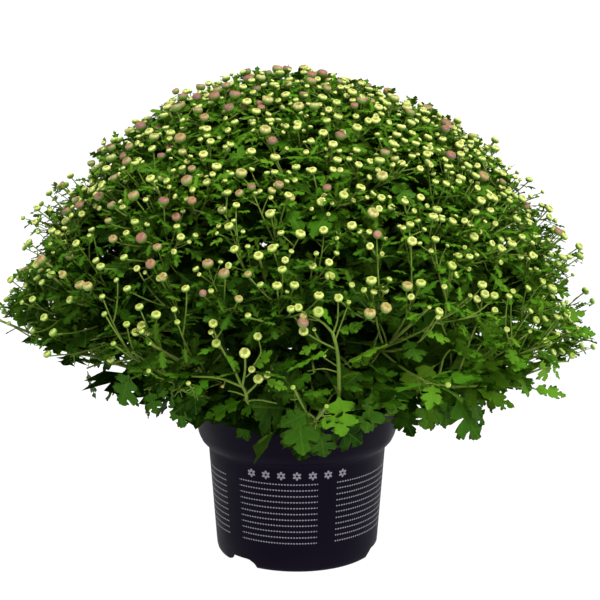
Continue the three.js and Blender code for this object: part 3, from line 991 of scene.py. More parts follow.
def budTone(draw, size, way):  # the larger buds start to turn pink, most of all at the top left
    pink = 0.0
    share = growth["pinkShare"] * (0.25 + 2.6 * max(0, way[2] - 0.55)) * (1 - 0.8 * way[0])
    if size > 0.75 and way[2] > 0.4 and draw.random() < share:
        pink = draw.choice([0.4, 0.8, 1.0], p=[0.3, 0.35, 0.35])
    return (draw.random() * 0.4 + habitAt(way[2], "opened"), pink, draw.random())


def leafTone(draw, deep, root):  # painted light and shade: leaves are painted darker the deeper they lie and in the front hollow, for the shade there, and lighter at the top and at the lower right, where light falls
    # painted light at the top of the plant
    high = habitAt(root[2], "high")
    # painted shade in the front hollow
    front = habitAt(root[1], "frontShade") * habitAt(root[2], "frontShadeHeight")
    front *= habitAt(root[0], "frontShadeSide")
    # out falls with depth: painted shade inside the plant
    out = 1 - min(1, max(0, deep) / (82 + 150 * high - 30 * front))
    # young here is painted light at the lower right, not a leaf's age
    young = habitAt(root[0], "young") * habitAt(root[2], "lowRightLightHeight")
    # tint and age hold the painted light and shade, besides chance
    tint = (draw.beta(1.1, 2.4) + 0.12) * out**1.6 * (1 - 0.2 * front) + 0.36 * max(0, young) + high * out
    age = min(1.0, max(0.0, 1.1 - 1.05 * out + draw.normal(0, 0.15) - 0.6 * young - high + 0.15 * front))
    return (min(1.0, tint), age, draw.random())


def depthOf(point):
    out = point - crownPoint
    return domeReach(unit(out)) - np.linalg.norm(out)


# A leaf from a point on a stem. Its face turns to the sky as far as its direction lets it.
def growLeaf(heap, draw, root, along, length, deep, sky):
    outward = unit(root - crownPoint)
    length *= habitAt(outward[2], "longer")
    level = along * (1, 1, 0)
    if np.linalg.norm(level) > 0.3:
        along = unit(along * (1 - sky) + unit(level) * sky)
    normal = up + outward * habitAt(outward[2], "outward") + sideways(along, draw) * draw.uniform(0, 0.9) * (1 - sky)
    normal = unit(normal - along * (normal @ along))
    tip = root + along * length
    past = (10 if deep > 45 else 0) - depthOf(tip) - draw.exponential(5)
    if past > 0:
        length = max(length * 0.5, length - past)
        tip = root + along * length
    underside = np.interp(outAt(tip), *zip(*growth["under"]))
    underside -= (0.035 if tip[0] > 0 else 0.08) * tip[0]  # it is lower at the right
    if not inBox(tip) or tip[2] < underside - draw.exponential(4) or cleared(root) or cleared(tip):
        return
    if length > 27 and deep < 50:
        kind = "lobed"
    elif length > 19 and deep < 75:
        kind = "small"
    else:
        kind = "slim" if length > 10.5 else "tiny" if length > 6.5 else "bract"
    form = anyLeaf(draw, kind)
    width = length * draw.uniform(0.60, 0.88) * habitAt(deep, "wider")
    addLeaf(heap, form, root, along, normal, length, width, draw.uniform(0.1, 0.9), draw.uniform(-0.05, 0.2),
            leafTone(draw, deep, root), draw.normal(0, 0.3), min(0.45, length * 0.02))


# Leaves along a side branch or stalk, the smaller the nearer they are to the dome's surface.
def leafAlong(heap, draw, path, lowest=0.05):
    long = np.linalg.norm(np.diff(path, axis=0), axis=1).sum()
    turn = draw.uniform(0, 2 * math.pi)
    for _ in range(draw.poisson(long / growth["twigLeaf"])):
        at, way = onPath(path, draw.uniform(lowest, 0.95))
        turn += golden
        along = leaning(way, aroundAxis(way, turn), draw.uniform(35, 78))
        deep = depthOf(at)
        length = min(30, 8.5 + 0.34 * max(0, deep)) * draw.uniform(0.7, 1.3)
        growLeaf(heap, draw, at, along, length, deep, draw.uniform(0.0, 0.7))


# Points along the stems of one spray, where a stalk or leaf may start.
class Wood:
    def __init__(self):
        self.places, self.ways = np.zeros((0, 3)), np.zeros((0, 3))

    def add(self, path, low, high, count=9):
        rows = [onPath(path, share) for share in np.linspace(low, high, count)]
        self.places = np.concatenate([self.places, [row[0] for row in rows]])
        self.ways = np.concatenate([self.ways, [row[1] for row in rows]])

    def below(self, goal, way):  # the best start for a stalk that reaches goal along way, and how poor it is
        rise = (goal - self.places) @ way
        aside = np.linalg.norm(goal - self.places - rise[:, None] * way, axis=1)
        cost = aside * 1.4 + abs(rise - growth["stalk"]) + np.where(rise < 12, 1e3, 0)
        k = int(np.argmin(cost))
        return self.places[k], self.ways[k], cost[k]

    def nearest(self, goal, least):  # the nearest place that is at least that far away
        away = np.linalg.norm(self.places - goal, axis=1)
        k = int(np.argmin(np.where(away < least, 1e3, away)))
        return self.places[k], away[k]


# One spray: its stem, its clusters of buds and all its leaves.
class FineSpray:
    def __init__(self, number):
        self.number, self.spray = number, grown[number]
        self.axis, self.reach = self.spray["axis"], self.spray["reach"]
        self.draw = np.random.default_rng(4000 + number)
        self.leaves, self.stems, self.buds = Heap(), Heap(), Heap()
        self.stemTone = (self.draw.random(), 0.6, self.draw.random())
        self.twigTone = (self.draw.random(), 0.1, self.draw.random())
        self.wood = Wood()
        self.stood = []  # the middles and radii of the buds so far

    def addStem(self):  # it sags a little and then rises to its top bud
        sway = sideways(self.axis, self.draw) * self.draw.uniform(1, 4) - up * 13 * (1 - self.axis[2])
        self.span = self.reach - plan["start"] - 3
        points = []
        for t in np.linspace(0, 1, 12):
            points.append(self.spray["beside"](plan["start"] + self.span * t) + sway * math.sin(math.pi * t))
        self.trunk = np.array(points)
        addTube(self.stems, self.trunk, *stemForms["spray"], self.stemTone)
        self.wood.add(self.trunk, 0.3, 0.92, 16)

    def stemAt(self, distance):
        return onPath(self.trunk, min(1, max(0, (distance - plan["start"]) / self.span)))

    def facingAt(self, goal):
        way = unit(goal - crownPoint)
        return unit(way * 0.75 + up * 0.5 + sideways(way, self.draw) * 0.3)

    def bearBud(self, centre, facing, size, pink=None):
        tone = budTone(self.draw, size, unit(centre - crownPoint))
        if pink is not None:
            tone = (max(tone[0], 2 * pink - 1), pink, tone[2])
        radius = budSizes["radius"] * size * budSizes["drawn"] * (1.1 if tone[1] > 0 else 1.0)
        kind = "opening" if tone[1] > 0 else "ringed" if size > 0.72 else "tight"
        addBud(self.buds, kind, centre, facing, radius, self.draw.uniform(0, 6.28), tone)
        self.stood.append((centre, radius))

    def bearSmallBud(self, path, goal, facing, turn):  # it forks from the main bud's stalk
        out = self.draw.uniform(*growth["near"])
        small = self.draw.uniform(0.46, 0.80)
        place = goal + aroundAxis(facing, turn) * out - facing * self.draw.uniform(-1, 8)
        if any(np.linalg.norm(place - centre) < radius + 4 for centre, radius in self.stood):
            return
        fork, onward = onPath(path, self.draw.uniform(0.4, 0.8))
        turned = unit(facing + (place - goal) / 30)
        twig = bend(fork, (fork + place - turned * 8) / 2 + onward * 2, place - turned * 2 * small, 5)
        addTube(self.stems, twig, *stemForms["twig"], self.twigTone)
        leafAlong(self.leaves, self.draw, twig, 0.3)
        self.bearBud(place, turned, small)

    # a main bud, its stalk from the point start, the stalk's leaves, and the smaller buds
    def bearCluster(self, start, along, goal, facing, size, stalk, pink=None):
        if cleared(goal):
            return
        way = unit(goal - crownPoint)
        lone = riseOf(way[2]) < lowestHead(way)
        if lone and pink is None:
            size *= 0.6
        long = np.linalg.norm(goal - start)
        bent = (start + along * long * 0.3 + goal - facing * long * 0.5) / 2
        path = bend(start, bent, goal - facing * 2.2 * size, 6)
        addTube(self.stems, path, *stemForms[stalk], self.twigTone)
        leafAlong(self.leaves, self.draw, path)
        self.wood.add(path, 0.25, 0.75)
        self.bearBud(goal, facing, size, pink)
        turn = self.draw.uniform(0, 2 * math.pi)
        for _ in range(0 if lone or pink is not None else self.draw.choice(5, p=growth["nearShares"])):
            turn += golden
            self.bearSmallBud(path, goal, facing, turn)

    def addClusters(self):
        low = riseOf(self.axis[2]) < lowestHead(self.axis)
        self.bearBud(self.spray["top"], unit(self.axis + up * 0.3), 0.45 if low else 1.0)
        for bud in self.spray["buds"]:
            start, way = self.stemAt(self.reach - plan["bare"] - budPlan["below"] - self.draw.uniform(14, 40))
            along = unit(way + bud["spread"] * 0.6)
            self.bearCluster(start, along, bud["head"], self.facingAt(bud["head"]), bud["size"], "branch")
        # the further ones from the middle outwards, so that a stalk may start from an earlier one
        for goal, size, pink in sorted(self.spray["more"], key=lambda row: -(unit(row[0] - crownPoint) @ self.axis)):
            start, along, cost = self.wood.below(goal, unit(unit(goal - crownPoint) + up * 0.5))
            stalk = "stalk"
            if cost > growth["poorest"]:
                start, along = self.stemAt((goal - crownPoint) @ self.axis - self.draw.uniform(50, 80))
                stalk = "branch"
            self.bearCluster(start, along, goal, self.facingAt(goal), size, stalk, pink)

    def addSolidLeaves(self):  # the solid model's leaves, each on a stalk from the stem
        lowest, shorter, duller = growth["hanging"]
        for place in self.spray["leaves"]:
            root, along = place["root"], place["along"]
            form = anyLeaf(self.draw, "lobed")
            hangs = along[2] < lowest
            length = place["length"] * (shorter if hangs else 1)
            tint, age, patch = leafTone(self.draw, depthOf(root), root)
            start, way = self.stemAt(self.axis @ (root - crownPoint) - self.draw.uniform(8, 22))
            if np.linalg.norm(start - root) > 4:
                path = bend(start, start + way * 8, root + along * 2, 6)
                addTube(self.stems, path, *stemForms["leafStalk"], self.twigTone)
            cup = self.draw.uniform(0.02, 0.16)
            tone = (tint * (duller if hangs else 1), age, patch)
            addLeaf(self.leaves, form, root, along, place["normal"], length, length * leafPlan["width"],
                    2 * place["droop"], cup, tone, self.draw.normal(0, 0.15))

    def addStemLeaves(self):  # the stem bears them all the way up, each turned on from the last
        turn = self.draw.uniform(0, 2 * math.pi)
        distance, step = growth["stemLeaves"]
        while distance < self.reach - 12:
            turn += golden
            at, way = self.stemAt(distance)
            along = leaning(way, aroundAxis(self.axis, turn), self.draw.uniform(48, 80))
            deep = self.reach - distance
            length = min(48, 18 + 0.24 * deep) * self.draw.uniform(0.82, 1.12)
            growLeaf(self.leaves, self.draw, at, along, length, deep, self.draw.uniform(0.1, 0.7))
            distance += step * self.draw.uniform(0.8, 1.2)

    def addFillingLeaves(self, name):  # where the plant would let light through
        wanted = growth[name]
        for goal, deep in self.spray[name]:
            if name == "innerLeaves" and outAt(goal) > growth["rimInner"][0] and goal[2] < growth["rimInner"][1]:
                continue
            right, top, share = growth["airy"]
            if goal[0] > right and goal[2] < top and self.draw.random() < share:
                continue
            height, short = growth["lowLeaf"]
            longest = wanted["longest"] if goal[2] > height else short
            length = min(longest, 9 + wanted["grows"] * deep) * self.draw.uniform(0.75, 1.25)
            start, away = self.wood.nearest(goal, wanted["away"])
            along = unit(goal - start)
            stalk = max(0, away - length / 2)
            if stalk > length * 0.6:
                continue
            root = start + along * stalk
            if stalk > 3:
                path = bend(start, (start + root) / 2 - up, root + along, 4)
                addTube(self.stems, path, *stemForms["twig"], self.twigTone)
            growLeaf(self.leaves, self.draw, root, along, length, deep, self.draw.uniform(0.2, 0.8))

    def makePieces(self):
        node = f"spray_{self.number + 1:02d}"
        makePiece(f"{node}_leaves", self.leaves, materials["leaf"], "foliage", node)
        makePiece(f"{node}_stems", self.stems, materials["stem"], "foliage", node)
        makePiece(f"{node}_buds", self.buds, materials["bud"], "foliage", node)


def dressSpray(number):
    fine = FineSpray(number)
    fine.addStem()
    fine.addClusters()
    fine.addSolidLeaves()
    fine.addStemLeaves()
    fine.addFillingLeaves("innerLeaves")
    fine.addFillingLeaves("outerLeaves")
    fine.makePieces()
    return [fine.leaves.triangles(), fine.stems.triangles(), fine.buds.triangles(), len(fine.stood)]


planHeads()
planLeaves("innerLeaves")
planLeaves("outerLeaves")
totals = np.array([dressSpray(i) for i in range(plan["count"])]).sum(0)
print("sprays dressed: leaves, stems, buds triangles and buds", totals.tolist())


# the branching stem at the foot of the plant, and the leaves that hang from it over the rim

base = {
    "depth": 22,
    "limbs": 6,
    "limbLength": 38,
    "limbRise": 40,
    "shift": 0.35,  # of the first limb, as a share of the turn between two
    "forks": (0.93, 0.1),  # where a limb's last twig leaves it, and how far each further one is below
}


def buildBase():
    heap = Heap()
    draw = np.random.default_rng(77)
    turn = 360 / base["limbs"]
    aims = [up] + [directionAt(base["limbRise"], (k + base["shift"]) * turn) for k in range(base["limbs"])]
    tips = [crownPoint + aim * base["limbLength"] for aim in aims]
    foot = crownPoint - up * base["depth"]
    addTube(heap, bend(foot, crownPoint, tips[0], 7), *stemForms["main"], (0.4, 1, 0.5))
    for tip in tips[1:]:
        path = bend(crownPoint - up * 3, crownPoint + up * 5 + (tip - crownPoint) * 0.3, tip, 7)
        addTube(heap, path, *stemForms["limb"], (0.6, 0.9, 0.5))
    used = [0] * len(aims)
    last, step = base["forks"]
    for way in sprayWays:
        k = int(np.argmax([aim @ way for aim in aims]))
        root = crownPoint + (tips[k] - crownPoint) * (last - step * used[k])
        used[k] += 1
        end = crownPoint + way * (plan["start"] + 2)
        middle = (root + end) / 2 + aims[k] * 4
        addTube(heap, bend(root, middle, end, 7), *stemForms["limbTwig"], (draw.random(), 0.75, draw.random()))
    makePiece("branching_stem_bark", heap, materials["stem"], "stem", "branching_stem")


buildBase()

# Leaves that hang over the rim or below the dome, seen from the front: where each grows, where its tip is,
# how far it turns its edge to the viewer from 0 to 1, its width as a share of its length, and how bright it is painted,
# as painted light and shade for how much light reaches it.
hungLeaves = [
    ((32, -207, 202), (36, -204, 163), 0.05, 1.0, 1.0),
    ((-2, -192, 192), (6, -196, 146), 0.0, 0.90, 0.30),
    ((60, -180, 198), (57, -168, 154), 0.1, 0.78, 0.35),
    ((82, -165, 192), (77, -150, 166), 0.1, 0.85, 0.50),
    ((15, -200, 216), (-6, -206, 204), 0.5, 0.62, 0.45), ((3, -190, 198), (26, -186, 188), 0.5, 0.70, 0.55),
    ((40, -200, 218), (57, -204, 230), 0.4, 0.62, 0.55), ((42, -195, 210), (78, -195, 215), 0.6, 0.55, 0.60),
    ((50, -175, 191), (86, -170, 184), 0.5, 0.62, 0.65), ((-21, -198, 216), (-1, -204, 226), 0.5, 0.62, 0.45),
    ((-28, -180, 188), (-46, -176, 176), 0.4, 0.75, 0.50),
    ((-49, -118, 166), (-39, -108, 131), 0.4, 0.62, 0.35),
    ((-12, -164, 200), (-10, -150, 172), 0.1, 0.90, 0.50),
    ((14, -158, 190), (-3, -148, 170), 0.3, 0.80, 0.45),
    ((-40, -184, 189), (-74, -188, 177), 0.5, 0.62, 0.50),
    ((-24, -194, 198), (6, -204, 208), 0.9, 0.60, 0.60),
    ((38, -162, 191), (74, -166, 184), 0.7, 0.60, 0.70),
    ((44, -182, 201), (76, -186, 201), 0.8, 0.55, 0.75),
    ((-24, -112, 172), (-28, -112, 142), 0.2, 0.90, 0.40),
    ((119, -122, 181), (107, -112, 141), 0.2, 0.80, 0.40),
    ((129, -122, 180), (155, -112, 135), 0.1, 0.75, 0.35),
    ((124, -116, 182), (128, -106, 141), 0.1, 0.85, 0.35),
    ((137, -118, 180), (159, -112, 148), 0.4, 0.60, 0.40),
    ((-138, -118, 196), (-149, -112, 164), 0.1, 1.10, 0.30),
    ((-122, -138, 186), (-116, -130, 160), 0.3, 0.60, 0.25),
    ((-126, -134, 185), (-120, -128, 157), 0.9, 0.40, 0.25),
    ((-98, -138, 184), (-96, -125, 145), 0.1, 0.62, 0.25),
    ((-102, -140, 186), (-104, -134, 168), 0.4, 0.60, 0.25),
    ((-112, -142, 190), (-108, -138, 176), 0.3, 0.80, 0.25),
    ((-86, -100, 170), (-92, -104, 150), 0.3, 0.80, 0.25),
    ((-169, -120, 222), (-226, -105, 222), 0.9, 0.30, 0.30),
    ((-155, -115, 200), (-197, -100, 205), 0.9, 0.30, 0.20), ((-212, -95, 238), (-234, -85, 232), 0.8, 0.40, 0.30),
    ((-194, -110, 219), (-181, -108, 204), 0.4, 0.60, 0.20),
    ((-225, -90, 230), (-247, -85, 222), 0.8, 0.45, 0.20),
    ((226, -72, 216), (258, -62, 209), 0.9, 0.35, 0.40),
]


# The same round the back: bearings in degrees, and each tier's distance from the axis and height.
backLeaves = {"first": 2, "last": 180, "step": 11, "tiers": [(108, 165), (132, 196)]}


# A leaf from one place to another, without a stalk.
def spanLeaf(heap, draw, root, tip, edgewise, wide, paintedLight):
    root, tip = np.array(root, float), np.array(tip, float)
    length = np.linalg.norm(tip - root)
    along = unit(tip - root)
    outward = unit(root * (0.4, 1, 0))
    face = outward * (1 - edgewise) + np.cross(along, outward) * edgewise * (1 if along[0] < 0 else -1) + up * 0.3
    normal = unit(face - along * (face @ along))
    form = anyLeaf(draw, "lobed")
    # painted light and shade: this sets how light the leaf's green is painted
    addLeaf(heap, form, root, along, normal, length * 1.03, length * wide, draw.uniform(0.1, 0.3), 0.08,
            (paintedLight**2, (1 - paintedLight) * draw.uniform(0.3, 0.7), draw.random()), draw.normal(0, 0.1))
    return root, along


def buildHungLeaves():
    leaves, stalks = Heap(), Heap()
    draw = np.random.default_rng(991)
    rows = list(hungLeaves)
    for bearing in range(backLeaves["first"], backLeaves["last"], backLeaves["step"]):
        for out, height in backLeaves["tiers"]:
            outward = directionAt(0, bearing + draw.uniform(-4, 4))
            root = outward * (out + draw.uniform(-9, 9)) + up * (height + draw.uniform(-7, 7))
            tip = root + outward * draw.uniform(5, 25) - up * draw.uniform(25, 40)
            rows.append((root, tip, 0.2, 0.88, draw.uniform(0.3, 0.6)))
    for row in rows:
        root, along = spanLeaf(leaves, draw, *row)
        start = root * (0.45, 0.45, 0) + up * (root[2] - 6)
        path = bend(start, (start + root) / 2 + up * 8, root + along * 2, 7)
        addTube(stalks, path, *stemForms["hungStalk"], (draw.random(), 0.2, 0.5))
    makePiece("hung_leaves", leaves, materials["leaf"], "foliage")
    makePiece("hung_leaf_stalks", stalks, materials["stem"], "foliage")


buildHungLeaves()

# Shoots that stand free at the lower front. A stem has its points from the foot up, and its first and last radius.
# A bud has its place, the place where its stalk forks, its size and how pink it is. A leaf is given as those above.
shoots = [
    {
        "stems": [
            ([(6, -50, 150), (24, -130, 168), (33, -178, 184), (33, -205, 201), (32, -222, 229), (30, -228, 244),
              (27, -232, 254)], 1.9, 1.3),
            ([(27, -232, 254), (21, -236, 262), (14, -238, 267)], 1.1, 0.8),
            ([(27, -232, 253), (31, -234, 264), (31, -237, 280)], 0.9, 0.5),
            ([(29, -230, 248), (32, -233, 257), (38, -236, 275)], 0.8, 0.5),
            ([(30, -226, 240), (19, -230, 246), (9, -233, 253)], 0.9, 0.6),
            ([(32, -219, 224), (24, -222, 230), (21, -222, 232)], 0.6, 0.4),
            ([(32, -216, 219), (20, -222, 224), (8, -224, 222)], 0.6, 0.4),
        ],
        "buds": [
            ((16, -240, 272), (17, -237, 265), 1.15, 0.0), ((5, -236, 268), (17, -237, 265), 0.82, 0.5),
            ((1, -238, 275), (14, -238, 267), 0.85, 0.0), ((5, -235, 256), (9, -233, 253), 1.0, 0.0),
            ((13, -233, 257), (17, -231, 248), 0.45, 0.0), ((21, -223, 234), (22, -222, 231), 0.42, 0.0),
            ((30, -238, 284), (31, -237, 280), 0.5, 0.0), ((39, -237, 279), (38, -236, 275), 0.5, 0.0),
        ],
        "leaves": [
            ((29, -226, 241), (-8, -238, 228), 0.85, 0.34, 0.9), ((33, -220, 225), (67, -230, 246), 0.85, 0.34, 0.9),
            ((31, -205, 202), (6, -222, 204), 0.8, 0.50, 0.6), ((28, -232, 255), (50, -234, 261), 0.5, 0.60, 0.7),
            ((18, -230, 246), (2, -234, 239), 0.4, 0.60, 0.6), ((32, -213, 214), (46, -220, 221), 0.7, 0.45, 0.8),
            ((28, -233, 258), (20, -240, 276), 0.5, 0.45, 0.8), ((33, -208, 206), (50, -214, 206), 0.6, 0.55, 0.6),
        ],
    },
    {
        "stems": [
            ([(-8, -50, 150), (-28, -130, 170), (-38, -172, 181), (-40, -187, 189), (-40, -195, 198),
              (-44, -200, 205)], 1.8, 1.3),
            ([(-44, -200, 205), (-50, -210, 223), (-58, -216, 237), (-64, -221, 254)], 1.2, 0.7),
            ([(-43, -199, 203), (-60, -205, 212), (-82, -205, 213)], 1.1, 0.7),
            ([(-43, -199, 203), (-40, -212, 220), (-40, -221, 232)], 1.1, 0.8),
            ([(-40, -194, 196), (-34, -201, 203), (-30, -210, 210)], 1.0, 0.7),
            ([(-40, -187, 188), (-30, -189, 190), (-16, -190, 187)], 0.9, 0.6),
            ([(-40, -190, 193), (-48, -193, 197), (-54, -196, 199)], 0.8, 0.6),
            ([(-36, -212, 220), (-27, -219, 235), (-29, -225, 246)], 0.7, 0.5),
        ],
        "buds": [
            ((-62, -220, 243), (-59, -217, 238), 0.95, 0.0), ((-66, -221, 252), (-63, -219, 247), 0.6, 0.0),
            ((-64, -222, 259), (-64, -221, 254), 0.95, 0.0), ((-56, -222, 258), (-62, -219, 247), 0.55, 0.0),
            ((-30, -227, 250), (-29, -225, 246), 0.88, 0.0), ((-40, -223, 236), (-40, -221, 232), 1.15, 0.0),
            ((-35, -215, 221), (-40, -207, 213), 0.75, 0.0), ((-30, -213, 213), (-30, -209, 209), 1.05, 0.0),
            ((-23, -212, 216), (-31, -207, 208), 0.8, 0.0), ((-58, -209, 206), (-56, -204, 210), 0.4, 0.6),
        ],
        "leaves": [
            ((-29, -224, 244), (-17, -226, 251), 0.6, 0.50, 0.6), ((-35, -212, 220), (-21, -220, 237), 0.3, 0.60, 0.9),
            ((-27, -210, 213), (-7, -214, 206), 0.4, 0.55, 1.0), ((-41, -212, 219), (-64, -216, 217), 0.9, 0.25, 0.8),
            ((-39, -212, 219), (-8, -218, 219), 0.9, 0.20, 0.8), ((-56, -214, 234), (-44, -218, 222), 0.5, 0.50, 0.7),
            ((-66, -205, 212), (-84, -212, 201), 0.4, 0.60, 0.5), ((-78, -205, 213), (-104, -206, 217), 0.7, 0.50, 0.6),
            ((-60, -216, 240), (-76, -222, 236), 0.5, 0.50, 0.6),
        ],
    },
    {
        "stems": [
            ([(-20, -50, 150), (-62, -110, 168), (-91, -150, 185), (-105, -172, 205), (-110, -186, 224),
              (-115, -196, 239)], 2.0, 1.0),
            ([(-105, -172, 205), (-117, -180, 217), (-128, -184, 227), (-140, -184, 228), (-145, -183, 225)], 1.2, 0.7),
            ([(-96, -160, 193), (-91, -168, 205), (-88, -174, 218)], 0.8, 0.5),
        ],
        "buds": [
            ((-147, -184, 222), (-145, -183, 225), 0.95, 0.0), ((-120, -205, 253), (-115, -196, 239), 1.05, 0.0),
            ((-125, -204, 248), (-115, -196, 239), 0.9, 0.0), ((-116, -204, 247), (-115, -196, 240), 0.7, 0.0),
        ],
        "leaves": [
            ((-73, -190, 210), (-91, -192, 214), 0.8, 0.40, 0.6),
            ((-116, -190, 229), (-131, -196, 240), 0.5, 0.55, 0.6),
            ((-111, -184, 219), (-90, -190, 217), 0.6, 0.50, 0.6),
            ((-122, -182, 222), (-134, -188, 212), 0.4, 0.60, 0.5),
            ((-98, -164, 197), (-116, -176, 196), 0.5, 0.60, 0.5),
            ((-140, -184, 228), (-156, -190, 224), 0.5, 0.50, 0.5),
        ],
    },
    {
        "stems": [
            ([(22, -45, 150), (70, -95, 170), (106, -128, 184), (143, -125, 184), (169, -115, 182),
              (196, -100, 176)], 2.1, 0.8),
            ([(169, -115, 182), (187, -105, 187), (209, -95, 192), (219, -90, 196), (230, -86, 195)], 1.1, 0.7),
            ([(114, -130, 186), (117, -145, 203), (118, -150, 214), (123, -155, 222)], 1.2, 0.8),
            ([(118, -134, 190), (129, -140, 195), (138, -140, 200)], 0.9, 0.7),
            ([(130, -132, 190), (135, -148, 212), (139, -155, 230), (146, -160, 249), (147, -165, 264)], 1.1, 0.7),
        ],
        "buds": [
            ((233, -86, 200), (230, -86, 195), 0.8, 0.0), ((149, -166, 270), (147, -165, 264), 1.0, 0.0),
            ((143, -166, 266), (146, -163, 257), 0.85, 0.0), ((112, -190, 259), (118, -180, 240), 0.7, 0.0),
        ],
        "leaves": [
            ((194, -100, 176), (231, -90, 168), 0.3, 0.36, 0.8), ((143, -125, 183), (184, -118, 167), 0.3, 0.38, 0.9),
            ((209, -96, 207), (213, -92, 179), 0.05, 1.0, 0.95), ((117, -150, 211), (81, -165, 191), 0.4, 0.55, 0.9),
            ((111, -152, 209), (103, -150, 190), 0.2, 0.80, 0.8), ((138, -140, 200), (169, -138, 210), 0.5, 0.55, 0.9),
            ((123, -155, 222), (150, -154, 219), 0.5, 0.55, 0.9), ((143, -155, 226), (173, -148, 229), 0.6, 0.50, 0.9),
            ((187, -105, 187), (174, -110, 210), 0.2, 0.55, 0.8), ((202, -98, 190), (188, -102, 205), 0.3, 0.60, 0.8),
            ((94, -200, 249), (121, -195, 241), 0.6, 0.50, 1.0), ((152, -120, 183), (138, -128, 207), 0.3, 0.60, 0.7),
            ((176, -110, 182), (200, -104, 184), 0.6, 0.50, 0.8), ((133, -142, 203), (150, -150, 196), 0.4, 0.60, 0.9),
            ((160, -118, 183), (176, -124, 196), 0.4, 0.60, 0.9), ((214, -93, 194), (224, -92, 182), 0.3, 0.60, 0.8),
            ((138, -153, 226), (124, -162, 236), 0.4, 0.55, 0.9), ((143, -158, 241), (158, -164, 246), 0.4, 0.55, 0.9),
            ((146, -161, 252), (133, -168, 258), 0.4, 0.50, 0.9), ((136, -149, 214), (152, -156, 214), 0.5, 0.55, 0.8),
        ],
    },
]


def through(points, steps):  # a smooth path near the points
    knots = np.array(points, float)
    shares = np.linspace(0, len(knots) - 1, steps)
    path = np.stack([np.interp(shares, range(len(knots)), knots[:, axis]) for axis in range(3)], 1)
    for _ in range(2):
        path[1:-1] = path[1:-1] / 2 + (path[:-2] + path[2:]) / 4
    return path


def buildShoots():
    leaves, stems, buds = Heap(), Heap(), Heap()
    draw = np.random.default_rng(88)
    for shoot in shoots:
        for points, first, last in shoot["stems"]:
            addTube(stems, through(points, 3 * len(points)), [first, last], 7, (draw.random(), 0.1, 0.5))
        for place, fork, size, pink in shoot["buds"]:
            goal, start = np.array(place, float), np.array(fork, float)
            facing = unit(unit(goal - crownPoint) * 0.7 + up * 0.5 - np.array([0, 0.4, 0]))
            path = bend(start, (start + goal - facing * 6) / 2, goal - facing * 2.5 * size, 6)
            addTube(stems, path, *stemForms["stalk"], (draw.random(), 0.05, 0.5))
            radius = budSizes["radius"] * size * budSizes["drawn"]
            kind = "ringed" if size > 0.7 else "tight"
            addBud(buds, kind, goal, facing, radius, draw.uniform(0, 6.28), (draw.random() * 0.6, pink, draw.random()))
        for row in shoot["leaves"]:
            spanLeaf(leaves, draw, *row)
    makePiece("shoot_leaves", leaves, materials["leaf"], "foliage")
    makePiece("shoot_stems", stems, materials["stem"], "foliage")
    makePiece("shoot_buds", buds, materials["bud"], "foliage")


buildShoots()
print("foot of the plant ready")

# the pot

potForm = {
    "columns": 144,
    "outside": [
        (0, 9), (60, 9), (64.2, 9), (65.4, 8.2), (65.4, 1.0), (65.9, 0.2), (66.6, 0), (68.2, 0), (69.4, 0.2),
        (71.2, 1.3), (72.3, 3.2), (73.0, 6), (73.5, 12), (76.6, 54), (79.6, 94), (79.95, 98), (80.6, 99.8),
        (82.4, 101.4), (84.8, 103.3), (86.2, 104.9), (88.3, 109.2), (89.1, 111.6), (91.9, 127), (93.9, 137.6),
        (94.3, 138.6), (94.9, 139.3), (95.0, 140.2), (95.0, 142.0), (94.7, 142.7), (94.1, 143.0),
    ],
    "inside": [
        (93.5, 142.8), (93.1, 142.2), (87.4, 113), (86.6, 111.4), (79.4, 101.6), (78.3, 99), (71.4, 13),
        (70.4, 11.2), (69, 10.8), (0, 10.8),
    ],
    # under the foot: the first one's bearing, the radius that they start from and the one that "width" is true at
    "notches": {"count": 3, "width": 34, "height": 8, "first": -135, "inner": 65, "middle": 70, "corner": 7.5},
    "crease": 38,  # faces that meet at more degrees than this keep a sharp edge
    "drains": {"count": 6, "out": 42, "radius": 5},
}


potLook = {
    "shell": ((0.0030, 0.0016, 0.0074), (0.0064, 0.0044, 0.0120)),  # clean and dusty
    "ink": (0.300, 0.290, 0.330),
    "round": 78,  # the radius at which the ornament's widths are true, in millimetres as all below
    # a garland of six-petalled rosettes: its height, half a step, how far it goes to each side in radians
    "garland": {"height": 91, "halfStep": 6.8, "middle": 1.1, "petalFoot": 1.9, "petal": 2.0, "end": 0.6},
    # panels ruled with rows of lozenges: half a panel with its gap, half a panel, the first one's shift, foot and top
    "panels": {"halfStep": 45, "half": 36, "shift": 18, "foot": 25.4, "top": 84.4},
    "rows": {"first": 28, "halfStep": 2.75, "lozenge": 1.3},
}


